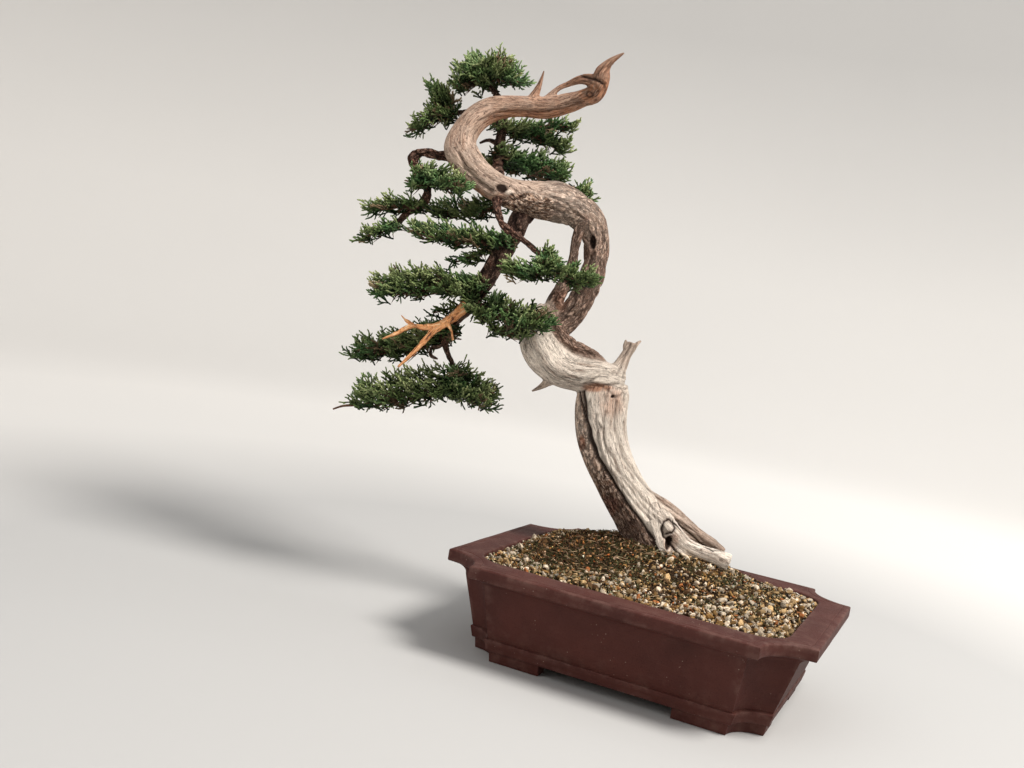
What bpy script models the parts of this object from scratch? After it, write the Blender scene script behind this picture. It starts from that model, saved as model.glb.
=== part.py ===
"""A shimpaku juniper bonsai in its pot, in metres, +Z up.

The origin is at the middle of the whole object's footprint, on the surface that it stands on. X runs
along the pot's long side and Y away from its front. The tree's limbs are read from a picture of it:
each point is a column and a row of the picture with a distance behind the tree's own plane.
"""

import math
import random

import bmesh
import bpy
import numpy as np
from mathutils import Matrix, Vector

# The pot's place
POT_CENTRE = Vector((0.0955, 0.0000, 0.0))

# The picture's geometry: the eye from the pot's centre, and the picture's three directions
EYE = POT_CENTRE + Vector((0.2646, -1.0389, 0.3279))
FORWARD = Vector((-0.38643, 0.91857, -0.08307))
RIGHT = Vector((0.90255, 0.39516, 0.17103))
UP = Vector((-0.18993, 0.00888, 0.98176))
FOCAL_PIXELS = 1177.0
MIDDLE_COLUMN = 512.0
MIDDLE_ROW = 384.0
TREE_DEPTH = 1.132
TRUNK_COLUMN = 655.0
PLANE_TURN = 0.00018

# Clearances
GAP = 0.0003
FOLIAGE_GAP = 0.0006
WELD_DISTANCE = 0.000001
CUT_PAST = 0.010
SHARP_ANGLE = math.radians(40)

# Pot
RIM_LENGTH = 0.330
RIM_WIDTH = 0.267
RIM_NOTCH = 0.039
POT_HEIGHT = 0.0866
RIM_EDGE = 0.0110
RIM_ROUND = 0.0010
COVE_HEIGHT = 0.0100
COVE_REACH = 0.0150
COVE_NOTCH_LESS = 0.0040
FOOT_HEIGHT = 0.0096
BODY_INSET = 0.031
BODY_NOTCH = 0.026
BAND_HEIGHT = 0.0110
BAND_PROUD = 0.0020
BAND_SLOPE = 0.0020
SMALL_EDGE = 0.0010
LINE_INSET = 0.0060
LINE_HALF_WIDTH = 0.0007
LINE_DEPTH = 0.0006
OPENING_LENGTH = 0.276
OPENING_WIDTH = 0.202
OPENING_ROUND = 0.030
FLOOR_LENGTH = 0.250
FLOOR_WIDTH = 0.186
FLOOR_TOP = 0.0200
NOTCH_POINTS = 4
FOOT_INSET = 0.002
FOOT_TAPER = 0.0015
FOOT_THICK = 0.016
FOOT_LENGTH = 0.074
FOOT_LENGTH_SIDE = 0.062
FOOT_SUNK = 0.003
DRAIN_RADIUS = 0.011
DRAIN_OFFSET = 0.070
DRAIN_SIDES = 20

# Drainage mesh
MESH_SIDE = 0.034
MESH_THICK = 0.0012
MESH_HOLES = 3
MESH_HOLE = 0.0060
MESH_PITCH = 0.0085

# Soil
SOIL_BELOW_RIM = 0.0030
MOUND_HEIGHT = 0.0270
MOUND_PLACE = (-0.025, 0.050)
MOUND_SPREAD_LEFT = 0.095
MOUND_SPREAD_RIGHT = 0.095
MOUND_SPREAD_Y = 0.070
MOUND_AT_EDGE = 0.15
SOIL_EDGE_FALL = 0.020
SOIL_CELLS = (26, 18)
SOIL_GRID_EXTRA = 0.020
SOIL_BLOCK_OVER_RIM = 0.050
SOIL_CUT_OVER_RIM = 0.100
SOIL_SEED = 11
GRAIN_HEIGHT = 0.0055
GRAIN_HIGH = (0.35, 1.0)
GRAIN_LOW = (-0.3, 0.1)
GRAIN_JITTER = 0.0018
GRAIN_FLAT_EDGE = 0.004

# Wood sections
TRUNK_SIDES = 10
STRAND_SIDES = 6
TWIG_SIDES = 5
SPINE_SIDES = 3
FLUTE_THREE = 0.05
FLUTE_FIVE = 0.04
TWIST_PER_STATION = 0.07
THICK_LIMB = 0.0200

# Foliage
SHOOT_LENGTH = (0.0125, 0.0165)
SHOOT_LEAN = (0.70, 0.84)
SHOOT_PAIRS = 3
SHOOT_BASE = 0.0040
SHOOT_SHORTER = 0.12
STEM_HALF_WIDTH = 0.0009
FAN_HALF_THICK = 0.0009
FAN_SHORTEST = 0.018
FAN_TRIES = 16
FAN_FIRST_SHARE = 0.16
FAN_SIDE = 0.85
FAN_RISE = (0.45, 1.0)
FAN_VARY = (0.9, 1.1)
FAN_AHEAD = (0.004, 0.012)
PAD_CURVE = 1.6
PAD_NARROWEST = 0.4
SHOOT_CLEAR_FROM = 0.6
ROD_SAMPLES = 9
SHORTEST_SQUARED = 1e-12
SPINE_RADIUS = 0.0016
SPINE_TIP_RADIUS = 0.0011
SIDE_STEP = 0.618034
RISE_STEP = 0.754878

# Limbs of the trunk: column, row, distance behind the tree's plane, radius
LOWER_TRUNK = (
    (673, 606, 0.000, 0.0230),
    (670, 585, 0.000, 0.0285),
    (664, 560, 0.000, 0.0310),
    (652, 537, 0.000, 0.0262),
    (637, 511, 0.000, 0.0228),
    (621, 485, 0.001, 0.0218),
    (608, 458, 0.002, 0.0222),
    (601, 431, 0.003, 0.0236),
    (601, 406, 0.003, 0.0246),
    (604, 391, 0.003, 0.0238),
    (607, 380, 0.004, 0.0195),
)
DEADWOOD = (
    (621, 384, 0.000, 0.0115),
    (612, 380, -0.003, 0.0150),
    (597, 376, -0.005, 0.0172),
    (578, 372, -0.007, 0.0172),
    (559, 366, -0.010, 0.0178),
    (544, 353, -0.012, 0.0182),
    (537, 337, -0.010, 0.0165),
    (540, 322, -0.004, 0.0138),
    (549, 311, 0.001, 0.0112),
)
UPPER_TRUNK = (
    (546, 333, 0.002, 0.0120),
    (562, 325, 0.006, 0.0124),
    (577, 308, 0.008, 0.0118),
    (588, 288, 0.010, 0.0112),
    (595, 265, 0.011, 0.0112),
    (596, 243, 0.011, 0.0120),
    (589, 222, 0.009, 0.0150),
    (573, 209, 0.005, 0.0170),
    (556, 202, 0.000, 0.0188),
    (536, 200, -0.004, 0.0178),
    (515, 196, -0.008, 0.0152),
    (496, 188, -0.011, 0.0140),
    (479, 176, -0.013, 0.0144),
    (466, 162, -0.014, 0.0158),
    (460, 149, -0.013, 0.0162),
    (464, 134, -0.010, 0.0134),
    (477, 118, -0.006, 0.0128),
    (496, 108, -0.002, 0.0116),
    (520, 106, 0.003, 0.0101),
    (546, 107, 0.006, 0.0106),
    (568, 103, 0.006, 0.0098),
    (583, 98, 0.003, 0.0084),
    (595, 92, -0.001, 0.0084),
    (600, 82, -0.004, 0.0082),
    (602, 73, -0.006, 0.0076),
    (606, 66, -0.007, 0.0050),
    (611, 61, -0.008, 0.0033),
    (617, 57, -0.009, 0.0021),
    (624, 53, -0.010, 0.0007),
)
INNER_STRAND = (
    (584, 218, 0.004, 0.0066),
    (577, 236, -0.001, 0.0048),
    (574, 256, -0.003, 0.0045),
    (570, 274, -0.003, 0.0055),
    (561, 290, -0.002, 0.0068),
    (553, 305, 0.000, 0.0080),
    (549, 320, 0.000, 0.0086),
)
LIVE_STRIP = (
    (549, 312, -0.006, 0.0062),
    (557, 328, -0.010, 0.0060),
    (569, 342, -0.011, 0.0058),
    (584, 351, -0.011, 0.0054),
    (597, 358, -0.010, 0.0046),
    (606, 366, -0.006, 0.0032),
)
BROKEN_STUB = (
    (614, 378, 0.000, 0.0105),
    (621, 366, 0.000, 0.0072),
    (626, 356, 0.001, 0.0054),
    (630, 349, 0.001, 0.0050),
    (633, 343, 0.002, 0.0038),
)
STUB_LEFT_PRONG = (
    (627, 354, 0.001, 0.0034),
    (625, 346, 0.001, 0.0019),
    (626, 340, 0.001, 0.0008),
)
STUB_RIGHT_PRONG = (
    (632, 350, 0.002, 0.0034),
    (637, 344, 0.003, 0.0019),
    (641, 341, 0.004, 0.0008),
)
LOWER_SPIKE = (
    (556, 374, -0.008, 0.0090),
    (547, 382, -0.010, 0.0046),
    (540, 387, -0.011, 0.0024),
    (532, 391, -0.012, 0.0007),
)
SHORT_ARM = (
    (538, 338, -0.008, 0.0090),
    (524, 336, -0.011, 0.0048),
    (513, 337, -0.013, 0.0026),
)
TOP_SPIKE = (
    (530, 105, 0.003, 0.0070),
    (536, 93, 0.003, 0.0042),
    (540, 84, 0.003, 0.0024),
    (544, 71, 0.002, 0.0006),
)
TOP_STRAND = (
    (546, 101, 0.005, 0.0046),
    (558, 89, 0.006, 0.0026),
    (569, 84, 0.006, 0.0030),
    (580, 80, 0.004, 0.0044),
    (590, 80, 0.000, 0.0058),
    (600, 84, -0.004, 0.0060),
)
TOP_KNOT = (
    (582, 102, -0.002, 0.0044),
    (594, 98, -0.005, 0.0058),
    (601, 91, -0.007, 0.0052),
    (605, 81, -0.008, 0.0042),
)
FRONT_ROOT = (
    (652, 515, -0.010, 0.0115),
    (659, 533, -0.017, 0.0095),
    (664, 548, -0.023, 0.0075),
    (668, 562, -0.027, 0.0050),
)
UPPER_ROOT = (
    (644, 500, 0.002, 0.0110),
    (660, 510, 0.003, 0.0112),
    (678, 522, 0.004, 0.0092),
    (696, 535, 0.005, 0.0072),
    (711, 544, 0.006, 0.0062),
    (723, 553, 0.006, 0.0046),
)
SURFACE_ROOT = (
    (661, 519, -0.012, 0.0100),
    (674, 533, -0.017, 0.0076),
    (686, 545, -0.017, 0.0066),
    (700, 552, -0.014, 0.0066),
    (715, 557, -0.012, 0.0072),
    (729, 563, -0.010, 0.0086),
)
BACK_ROOT = (
    (657, 525, 0.010, 0.0130),
    (648, 538, 0.024, 0.0105),
    (640, 546, 0.038, 0.0080),
    (632, 552, 0.050, 0.0050),
)

# Live branches and the stripped one, in the same form
MAIN_BRANCH = (
    (531, 200, -0.003, 0.0110),
    (522, 216, -0.005, 0.0102),
    (512, 236, -0.008, 0.0098),
    (498, 260, -0.011, 0.0094),
    (483, 283, -0.013, 0.0084),
    (468, 303, -0.014, 0.0070),
    (456, 319, -0.013, 0.0046),
    (447, 334, -0.012, 0.0033),
    (446, 348, -0.010, 0.0028),
    (452, 364, -0.007, 0.0024),
    (456, 378, -0.006, 0.0019),
)
UNDER_TWIG = (
    (507, 246, -0.010, 0.0046),
    (494, 246, -0.016, 0.0028),
    (483, 248, -0.020, 0.0022),
)
CURLED_TWIG = (
    (448, 337, -0.011, 0.0028),
    (440, 346, -0.014, 0.0020),
    (432, 348, -0.016, 0.0018),
    (431, 355, -0.017, 0.0016),
    (438, 359, -0.018, 0.0010),
)
LEFT_BRANCH = (
    (461, 156, -0.013, 0.0056),
    (441, 156, -0.016, 0.0042),
    (425, 152, -0.018, 0.0042),
    (413, 158, -0.019, 0.0058),
    (418, 170, -0.019, 0.0042),
    (426, 183, -0.019, 0.0036),
    (427, 196, -0.020, 0.0034),
    (419, 207, -0.022, 0.0031),
    (408, 213, -0.025, 0.0028),
    (399, 222, -0.028, 0.0024),
    (393, 228, -0.030, 0.0018),
)
REAR_BRANCH = (
    (497, 186, -0.008, 0.0060),
    (499, 168, 0.018, 0.0050),
    (499, 149, 0.031, 0.0047),
    (502, 131, 0.036, 0.0045),
    (503, 116, 0.035, 0.0042),
    (499, 100, 0.031, 0.0037),
    (492, 87, 0.027, 0.0029),
    (487, 77, 0.023, 0.0020),
)
REAR_LEFT_TWIG = (
    (502, 122, 0.036, 0.0036),
    (484, 116, 0.041, 0.0031),
    (463, 112, 0.041, 0.0028),
    (446, 116, 0.037, 0.0020),
)
REAR_SIDE_TWIG = (
    (500, 144, 0.032, 0.0030),
    (489, 140, 0.036, 0.0021),
    (480, 143, 0.039, 0.0013),
)
FRONT_BRANCH = (
    (499, 192, -0.012, 0.0054),
    (497, 212, -0.031, 0.0042),
    (507, 229, -0.037, 0.0040),
    (520, 238, -0.040, 0.0036),
    (534, 249, -0.044, 0.0031),
    (546, 261, -0.046, 0.0022),
)
STRIPPED_BRANCH = (
    (472, 297, -0.014, 0.0056),
    (458, 313, -0.022, 0.0046),
    (443, 324, -0.028, 0.0040),
    (433, 331, -0.030, 0.0032),
    (422, 344, -0.032, 0.0025),
    (411, 355, -0.034, 0.0020),
    (398, 367, -0.036, 0.0010),
)
STRIPPED_FORK = (
    (441, 325, -0.029, 0.0034),
    (425, 327, -0.032, 0.0027),
    (411, 326, -0.034, 0.0024),
    (397, 333, -0.036, 0.0018),
    (382, 339, -0.038, 0.0009),
)
STRIPPED_TIP = (
    (416, 326, -0.034, 0.0020),
    (407, 321, -0.035, 0.0014),
    (401, 315, -0.036, 0.0007),
)
STRIPPED_SPUR = (
    (446, 321, -0.027, 0.0024),
    (451, 330, -0.034, 0.0015),
    (453, 340, -0.037, 0.0007),
)

# Each wooden piece: name, limbs with their sides, the piece that carries it
WOOD = (
    (
        "trunk",
        (
            (LOWER_TRUNK, TRUNK_SIDES),
            (DEADWOOD, TRUNK_SIDES),
            (UPPER_TRUNK, TRUNK_SIDES),
            (INNER_STRAND, STRAND_SIDES),
            (LIVE_STRIP, STRAND_SIDES),
            (BROKEN_STUB, STRAND_SIDES),
            (STUB_LEFT_PRONG, TWIG_SIDES),
            (STUB_RIGHT_PRONG, TWIG_SIDES),
            (LOWER_SPIKE, TWIG_SIDES),
            (SHORT_ARM, TWIG_SIDES),
            (TOP_SPIKE, TWIG_SIDES),
            (TOP_STRAND, TWIG_SIDES),
            (TOP_KNOT, STRAND_SIDES),
            (FRONT_ROOT, STRAND_SIDES),
            (UPPER_ROOT, STRAND_SIDES),
            (SURFACE_ROOT, STRAND_SIDES),
            (BACK_ROOT, STRAND_SIDES),
        ),
        None,
        "trunk",
    ),
    (
        "main_branch",
        (
            (MAIN_BRANCH, STRAND_SIDES),
            (UNDER_TWIG, TWIG_SIDES),
            (CURLED_TWIG, TWIG_SIDES),
        ),
        "trunk",
        "bark",
    ),
    ("left_branch", ((LEFT_BRANCH, TWIG_SIDES + 1),), "trunk", "bark"),
    (
        "rear_branch",
        (
            (REAR_BRANCH, TWIG_SIDES + 1),
            (REAR_LEFT_TWIG, TWIG_SIDES),
            (REAR_SIDE_TWIG, TWIG_SIDES),
        ),
        "trunk",
        "bark",
    ),
    ("front_branch", ((FRONT_BRANCH, TWIG_SIDES + 1),), "trunk", "bark"),
    (
        "stripped_branch",
        (
            (STRIPPED_BRANCH, TWIG_SIDES + 1),
            (STRIPPED_FORK, TWIG_SIDES),
            (STRIPPED_TIP, TWIG_SIDES),
            (STRIPPED_SPUR, TWIG_SIDES),
        ),
        "main_branch",
        "stripped",
    ),
)

# Each leafy spray: name, carrier, boughs. A bough has its spine as column, row and distance behind
# the tree's plane, its reach to each side, its height over the spine, and its number of fans. Every
# bough after the first starts on the first one's spine.
SPRAYS = (
    (
        "spray_apex",
        "rear_branch",
        (
            (((490, 83, 0.026), (484, 80, 0.026), (470, 82, 0.026), (457, 86, 0.024)), 0.026, 0.028, 4),
            (((484, 80, 0.026), (492, 74, 0.025), (504, 76, 0.024), (518, 82, 0.022)), 0.026, 0.026, 4),
        ),
    ),
    (
        "spray_upper_left",
        "rear_branch",
        (
            (((450, 115, 0.038), (443, 115, 0.036), (430, 120, 0.030), (414, 130, 0.024)), 0.022, 0.018, 4),
            (((443, 115, 0.036), (444, 106, 0.034), (440, 97, 0.032), (432, 90, 0.030)), 0.022, 0.014, 4),
        ),
    ),
    (
        "spray_upper_right",
        "rear_branch",
        (
            (((502, 128, 0.036), (520, 132, 0.042), (545, 139, 0.046), (564, 148, 0.047)), 0.018, 0.015, 5),
            (((520, 132, 0.042), (538, 128, 0.042), (556, 126, 0.040), (574, 127, 0.036)), 0.014, 0.010, 3),
        ),
    ),
    (
        "spray_inside_bend",
        "rear_branch",
        (
            (((499, 154, 0.028), (514, 166, 0.037), (540, 173, 0.042), (564, 178, 0.042)), 0.026, 0.023, 6),
            (((514, 166, 0.037), (501, 166, 0.043), (488, 164, 0.046)), 0.012, 0.010, 2),
        ),
    ),
    (
        "spray_right",
        "trunk",
        ((((572, 206, 0.008), (578, 197, 0.027), (584, 192, 0.032), (588, 196, 0.031)), 0.013, 0.012, 3),),
    ),
    (
        "spray_under_knob",
        "left_branch",
        (
            (
                ((419, 173, -0.019), (430, 178, -0.026), (446, 184, -0.036), (461, 188, -0.041)),
                0.018,
                0.017,
                5,
            ),
            (((430, 178, -0.026), (420, 182, -0.032), (412, 186, -0.034)), 0.012, 0.010, 2),
        ),
    ),
    (
        "spray_far_left_upper",
        "left_branch",
        (
            (
                ((420, 206, -0.022), (404, 206, -0.030), (386, 206, -0.036), (368, 210, -0.040)),
                0.016,
                0.014,
                5,
            ),
        ),
    ),
    (
        "spray_far_left_lower",
        "left_branch",
        (
            (
                ((396, 225, -0.029), (385, 230, -0.034), (374, 233, -0.038), (363, 238, -0.040)),
                0.015,
                0.013,
                4,
            ),
        ),
    ),
    (
        "spray_middle_left",
        "main_branch",
        (
            (
                (
                    (509, 240, -0.008),
                    (490, 243, -0.022),
                    (465, 241, -0.031),
                    (440, 237, -0.038),
                    (418, 233, -0.042),
                ),
                0.025,
                0.018,
                7,
            ),
        ),
    ),
    (
        "spray_behind_left",
        "trunk",
        (
            (
                (
                    (502, 194, -0.006),
                    (492, 209, 0.014),
                    (472, 213, 0.022),
                    (450, 212, 0.026),
                    (434, 211, 0.027),
                ),
                0.021,
                0.018,
                5,
            ),
        ),
    ),
    (
        "spray_under_middle",
        "main_branch",
        (
            (
                ((485, 248, -0.019), (474, 256, -0.022), (463, 260, -0.025), (454, 262, -0.027)),
                0.011,
                0.006,
                3,
            ),
        ),
    ),
    (
        "spray_left",
        "main_branch",
        (
            (
                (
                    (480, 287, -0.013),
                    (462, 290, -0.023),
                    (438, 289, -0.030),
                    (414, 290, -0.036),
                    (394, 292, -0.040),
                    (378, 293, -0.042),
                ),
                0.030,
                0.028,
                9,
            ),
        ),
    ),
    (
        "spray_front",
        "front_branch",
        (
            (
                ((543, 258, -0.045), (550, 268, -0.050), (572, 279, -0.056), (592, 283, -0.056)),
                0.021,
                0.017,
                4,
            ),
            (
                ((550, 268, -0.050), (536, 272, -0.054), (520, 274, -0.056), (506, 271, -0.056)),
                0.018,
                0.014,
                4,
            ),
            (((550, 268, -0.050), (547, 256, -0.042), (549, 248, -0.038)), 0.008, 0.006, 2),
        ),
    ),
    (
        "spray_lower_front",
        "main_branch",
        (
            (
                (
                    (474, 296, -0.013),
                    (486, 312, -0.032),
                    (506, 320, -0.046),
                    (530, 324, -0.054),
                    (546, 325, -0.057),
                ),
                0.028,
                0.025,
                7,
            ),
            (
                ((486, 312, -0.032), (490, 324, -0.038), (506, 332, -0.046), (526, 335, -0.050)),
                0.018,
                0.010,
                3,
            ),
        ),
    ),
    (
        "spray_small_left",
        "main_branch",
        (
            (
                ((467, 304, -0.013), (455, 307, -0.004), (444, 310, 0.002), (433, 313, 0.004)),
                0.009,
                0.008,
                2,
            ),
        ),
    ),
    (
        "spray_behind_stripped",
        "main_branch",
        (
            (
                (
                    (449, 331, -0.012),
                    (436, 341, -0.002),
                    (414, 348, 0.006),
                    (392, 352, 0.009),
                    (371, 354, 0.010),
                    (356, 355, 0.010),
                ),
                0.026,
                0.026,
                8,
            ),
        ),
    ),
    (
        "spray_lowest",
        "main_branch",
        (
            (
                (
                    (455, 374, -0.006),
                    (453, 388, -0.007),
                    (430, 395, -0.009),
                    (404, 399, -0.011),
                    (380, 402, -0.013),
                    (360, 404, -0.014),
                ),
                0.034,
                0.034,
                6,
            ),
            (
                ((453, 388, -0.007), (464, 394, -0.008), (478, 400, -0.010), (492, 404, -0.011)),
                0.030,
                0.030,
                4,
            ),
            (
                ((362, 404, -0.014), (352, 405, -0.015), (342, 406, -0.016), (333, 409, -0.016)),
                0.003,
                0.002,
                1,
            ),
        ),
    ),
)

# The limbs that stand in the soil
ROOTED_LIMBS = (
    (LOWER_TRUNK, TRUNK_SIDES),
    (FRONT_ROOT, STRAND_SIDES),
    (UPPER_ROOT, STRAND_SIDES),
    (SURFACE_ROOT, STRAND_SIDES),
    (BACK_ROOT, STRAND_SIDES),
)

# Colours as RGB in linear light, with roughness
COLOURS = {
    "pot": ((0.075, 0.030, 0.026), 0.62),
    "soil": ((0.260, 0.190, 0.110), 0.95),
    "drain_mesh": ((0.020, 0.020, 0.020), 0.50),
    "trunk": ((0.480, 0.370, 0.270), 0.85),
    "bark": ((0.100, 0.055, 0.045), 0.90),
    "stripped": ((0.560, 0.210, 0.075), 0.70),
    "foliage": ((0.045, 0.120, 0.035), 0.60),
}


def clear_scene():
    """Removes what the scene starts with."""
    for item in list(bpy.data.objects):
        bpy.data.objects.remove(item, do_unlink=True)


def new_collection(name, hidden=False):
    """A collection in the scene, left out of a render if it holds helpers."""
    collection = bpy.data.collections.new(name)
    collection.hide_render = hidden
    bpy.context.scene.collection.children.link(collection)
    return collection


def make_material(name):
    """One Principled material from the table of colours."""
    colour, roughness = COLOURS[name]
    material = bpy.data.materials.new(name)
    material.use_nodes = True
    shader = material.node_tree.nodes["Principled BSDF"]
    shader.inputs["Base Color"].default_value = (*colour, 1.0)
    shader.inputs["Roughness"].default_value = roughness
    shader.inputs["Metallic"].default_value = 0.0
    return material


def seen(column, row, back):
    """The point at this place of the picture, `back` behind the tree's plane."""
    turned = PLANE_TURN * (TRUNK_COLUMN - column)
    across = (column - MIDDLE_COLUMN) / FOCAL_PIXELS
    down = (row - MIDDLE_ROW) / FOCAL_PIXELS
    return EYE + (TREE_DEPTH + turned + back) * (FORWARD + across * RIGHT - down * UP)


def link_mesh(name, bm, collection):
    """Writes a bmesh to a new object in the collection, with its faces turned out."""
    bmesh.ops.recalc_face_normals(bm, faces=bm.faces[:])
    mesh = bpy.data.meshes.new(name)
    bm.to_mesh(mesh)
    bm.free()
    made = bpy.data.objects.new(name, mesh)
    collection.objects.link(made)
    return made


def evaluated_copy(source, name, collection):
    """A plain mesh object of what the source shows with its modifiers, in place of the source."""
    graph = bpy.context.evaluated_depsgraph_get()
    mesh = bpy.data.meshes.new_from_object(source.evaluated_get(graph))
    made = bpy.data.objects.new(name, mesh)
    made.matrix_world = source.matrix_world
    collection.objects.link(made)
    bpy.data.objects.remove(source, do_unlink=True)
    return made


def empty_collection(collection):
    """Removes a collection and the objects in it."""
    for item in list(collection.objects):
        bpy.data.objects.remove(item, do_unlink=True)
    bpy.data.collections.remove(collection)


def combine(base, others, operation):
    """Applies one Boolean of the base with all the other objects, which are then removed."""
    home = base.users_collection[0]
    name = base.name
    group = new_collection("operands", hidden=True)
    for item in others:
        for old in list(item.users_collection):
            old.objects.unlink(item)
        group.objects.link(item)
        item.hide_render = True
        item.display_type = "WIRE"
    boolean = base.modifiers.new("combine", "BOOLEAN")
    boolean.operation = operation
    boolean.solver = "MANIFOLD"
    boolean.operand_type = "COLLECTION"
    boolean.collection = group
    base.name = name + "_base"
    bpy.context.view_layer.update()
    made = evaluated_copy(base, name, home)
    empty_collection(group)
    return made


def weld(item):
    """Joins a converted curve's caps to its sides, splits its quads one way and turns its faces out."""
    bm = bmesh.new()
    bm.from_mesh(item.data)
    bmesh.ops.remove_doubles(bm, verts=bm.verts, dist=WELD_DISTANCE)
    bmesh.ops.triangulate(bm, faces=bm.faces[:], quad_method="FIXED")
    bmesh.ops.recalc_face_normals(bm, faces=bm.faces[:])
    bm.to_mesh(item.data)
    bm.free()


def keep_largest(item):
    """Drops the loose scraps that a cut leaves, and keeps the body with the most faces."""
    bm = bmesh.new()
    bm.from_mesh(item.data)
    bmesh.ops.triangulate(bm, faces=bm.faces[:])
    unseen = set(bm.faces)
    bodies = []
    while unseen:
        stack = [unseen.pop()]
        body = []
        while stack:
            face = stack.pop()
            body.append(face)
            for edge in face.edges:
                if len(edge.link_faces) != 2:
                    continue
                for other in edge.link_faces:
                    if other in unseen:
                        unseen.remove(other)
                        stack.append(other)
        bodies.append(body)
    bodies.sort(key=len)
    for body in bodies[:-1]:
        bmesh.ops.delete(bm, geom=body, context="FACES")
    bm.to_mesh(item.data)
    bm.free()


def finish_piece(item, material_name):
    """Gives a finished piece its own material and smooth shading with sharp edges kept."""
    item.data.materials.clear()
    item.data.materials.append(make_material(material_name))
    item.data.shade_smooth()
    item.data.set_sharp_from_angle(angle=SHARP_ANGLE)


def corner_ring(length, width, corner, hollow):
    """An outline with four rounded corners as (x, y) points: hollow ones cut in, others bulge."""
    points = []
    for sign_x, sign_y in ((1, 1), (-1, 1), (-1, -1), (1, -1)):
        arc = []
        for step in range(NOTCH_POINTS + 1):
            angle = 0.5 * math.pi * step / NOTCH_POINTS
            if hollow:
                x = length / 2 - corner * math.sin(angle)
                y = width / 2 - corner * math.cos(angle)
            else:
                x = length / 2 - corner * (1 - math.cos(angle))
                y = width / 2 - corner * (1 - math.sin(angle))
            arc.append((sign_x * x, sign_y * y))
        if sign_x * sign_y < 0:
            arc.reverse()
        points += arc
    return points


def loft(name, rings, collection):
    """A closed body through rings of equal numbers of points, each ring with its height."""
    bm = bmesh.new()
    rows = []
    for ring, height in rings:
        rows.append([bm.verts.new((POT_CENTRE.x + x, POT_CENTRE.y + y, height)) for x, y in ring])
    count = len(rows[0])
    for lower, upper in zip(rows, rows[1:]):
        for i in range(count):
            j = (i + 1) % count
            bm.faces.new((lower[i], lower[j], upper[j], upper[i]))
    bm.faces.new(rows[0][::-1])
    bm.faces.new(rows[-1])
    return link_mesh(name, bm, collection)


def outer_ring(inset, notch):
    """The pot's outline, moved in from the rim, with indented corners."""
    return corner_ring(RIM_LENGTH - 2 * inset, RIM_WIDTH - 2 * inset, notch, hollow=True)


def inner_ring(share, inset=0.0):
    """The pot's inside, with the share of the way from its floor to its opening."""
    length = FLOOR_LENGTH + share * (OPENING_LENGTH - FLOOR_LENGTH)
    width = FLOOR_WIDTH + share * (OPENING_WIDTH - FLOOR_WIDTH)
    return corner_ring(length - 2 * inset, width - 2 * inset, OPENING_ROUND, hollow=False)


def wall_ring(height):
    """The outer wall's outline at a height between the bottom band and the cove."""
    top = POT_HEIGHT - RIM_EDGE - COVE_HEIGHT
    share = (height - FOOT_HEIGHT) / (top - FOOT_HEIGHT)
    inset = BODY_INSET + share * (COVE_REACH - BODY_INSET)
    notch = BODY_NOTCH + share * (RIM_NOTCH - COVE_NOTCH_LESS - BODY_NOTCH)
    return outer_ring(inset, notch)


def pot_rings():
    """The sections of the pot from its underside, up the outside, over the rim and down inside."""
    band_top = FOOT_HEIGHT + BAND_HEIGHT
    wall_top = POT_HEIGHT - RIM_EDGE - COVE_HEIGHT
    edge_low = POT_HEIGHT - RIM_EDGE
    band_inset = BODY_INSET - BAND_PROUD
    rings = [
        (outer_ring(band_inset + SMALL_EDGE, BODY_NOTCH), FOOT_HEIGHT),
        (outer_ring(band_inset, BODY_NOTCH), FOOT_HEIGHT + SMALL_EDGE),
        (outer_ring(band_inset - BAND_SLOPE, BODY_NOTCH), band_top - SMALL_EDGE),
        (wall_ring(band_top), band_top),
        (wall_ring(wall_top), wall_top),
    ]
    for step in (1, 2):
        angle = 0.5 * math.pi * step / 3
        inset = COVE_REACH * math.cos(angle)
        notch = RIM_NOTCH - COVE_NOTCH_LESS * (3 - step) / 3
        rings.append((outer_ring(inset, notch), wall_top + COVE_HEIGHT * math.sin(angle)))
    rings += [
        (outer_ring(RIM_ROUND, RIM_NOTCH), edge_low),
        (outer_ring(0.0, RIM_NOTCH), edge_low + RIM_ROUND),
        (outer_ring(0.0, RIM_NOTCH), POT_HEIGHT - RIM_ROUND),
        (outer_ring(RIM_ROUND, RIM_NOTCH), POT_HEIGHT),
        (outer_ring(LINE_INSET - LINE_HALF_WIDTH, RIM_NOTCH), POT_HEIGHT),
        (outer_ring(LINE_INSET, RIM_NOTCH), POT_HEIGHT - LINE_DEPTH),
        (outer_ring(LINE_INSET + LINE_HALF_WIDTH, RIM_NOTCH), POT_HEIGHT),
        (inner_ring(1.0, -SMALL_EDGE), POT_HEIGHT),
        (inner_ring(1.0), POT_HEIGHT - SMALL_EDGE),
        (inner_ring(0.0), FLOOR_TOP),
    ]
    return rings


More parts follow.
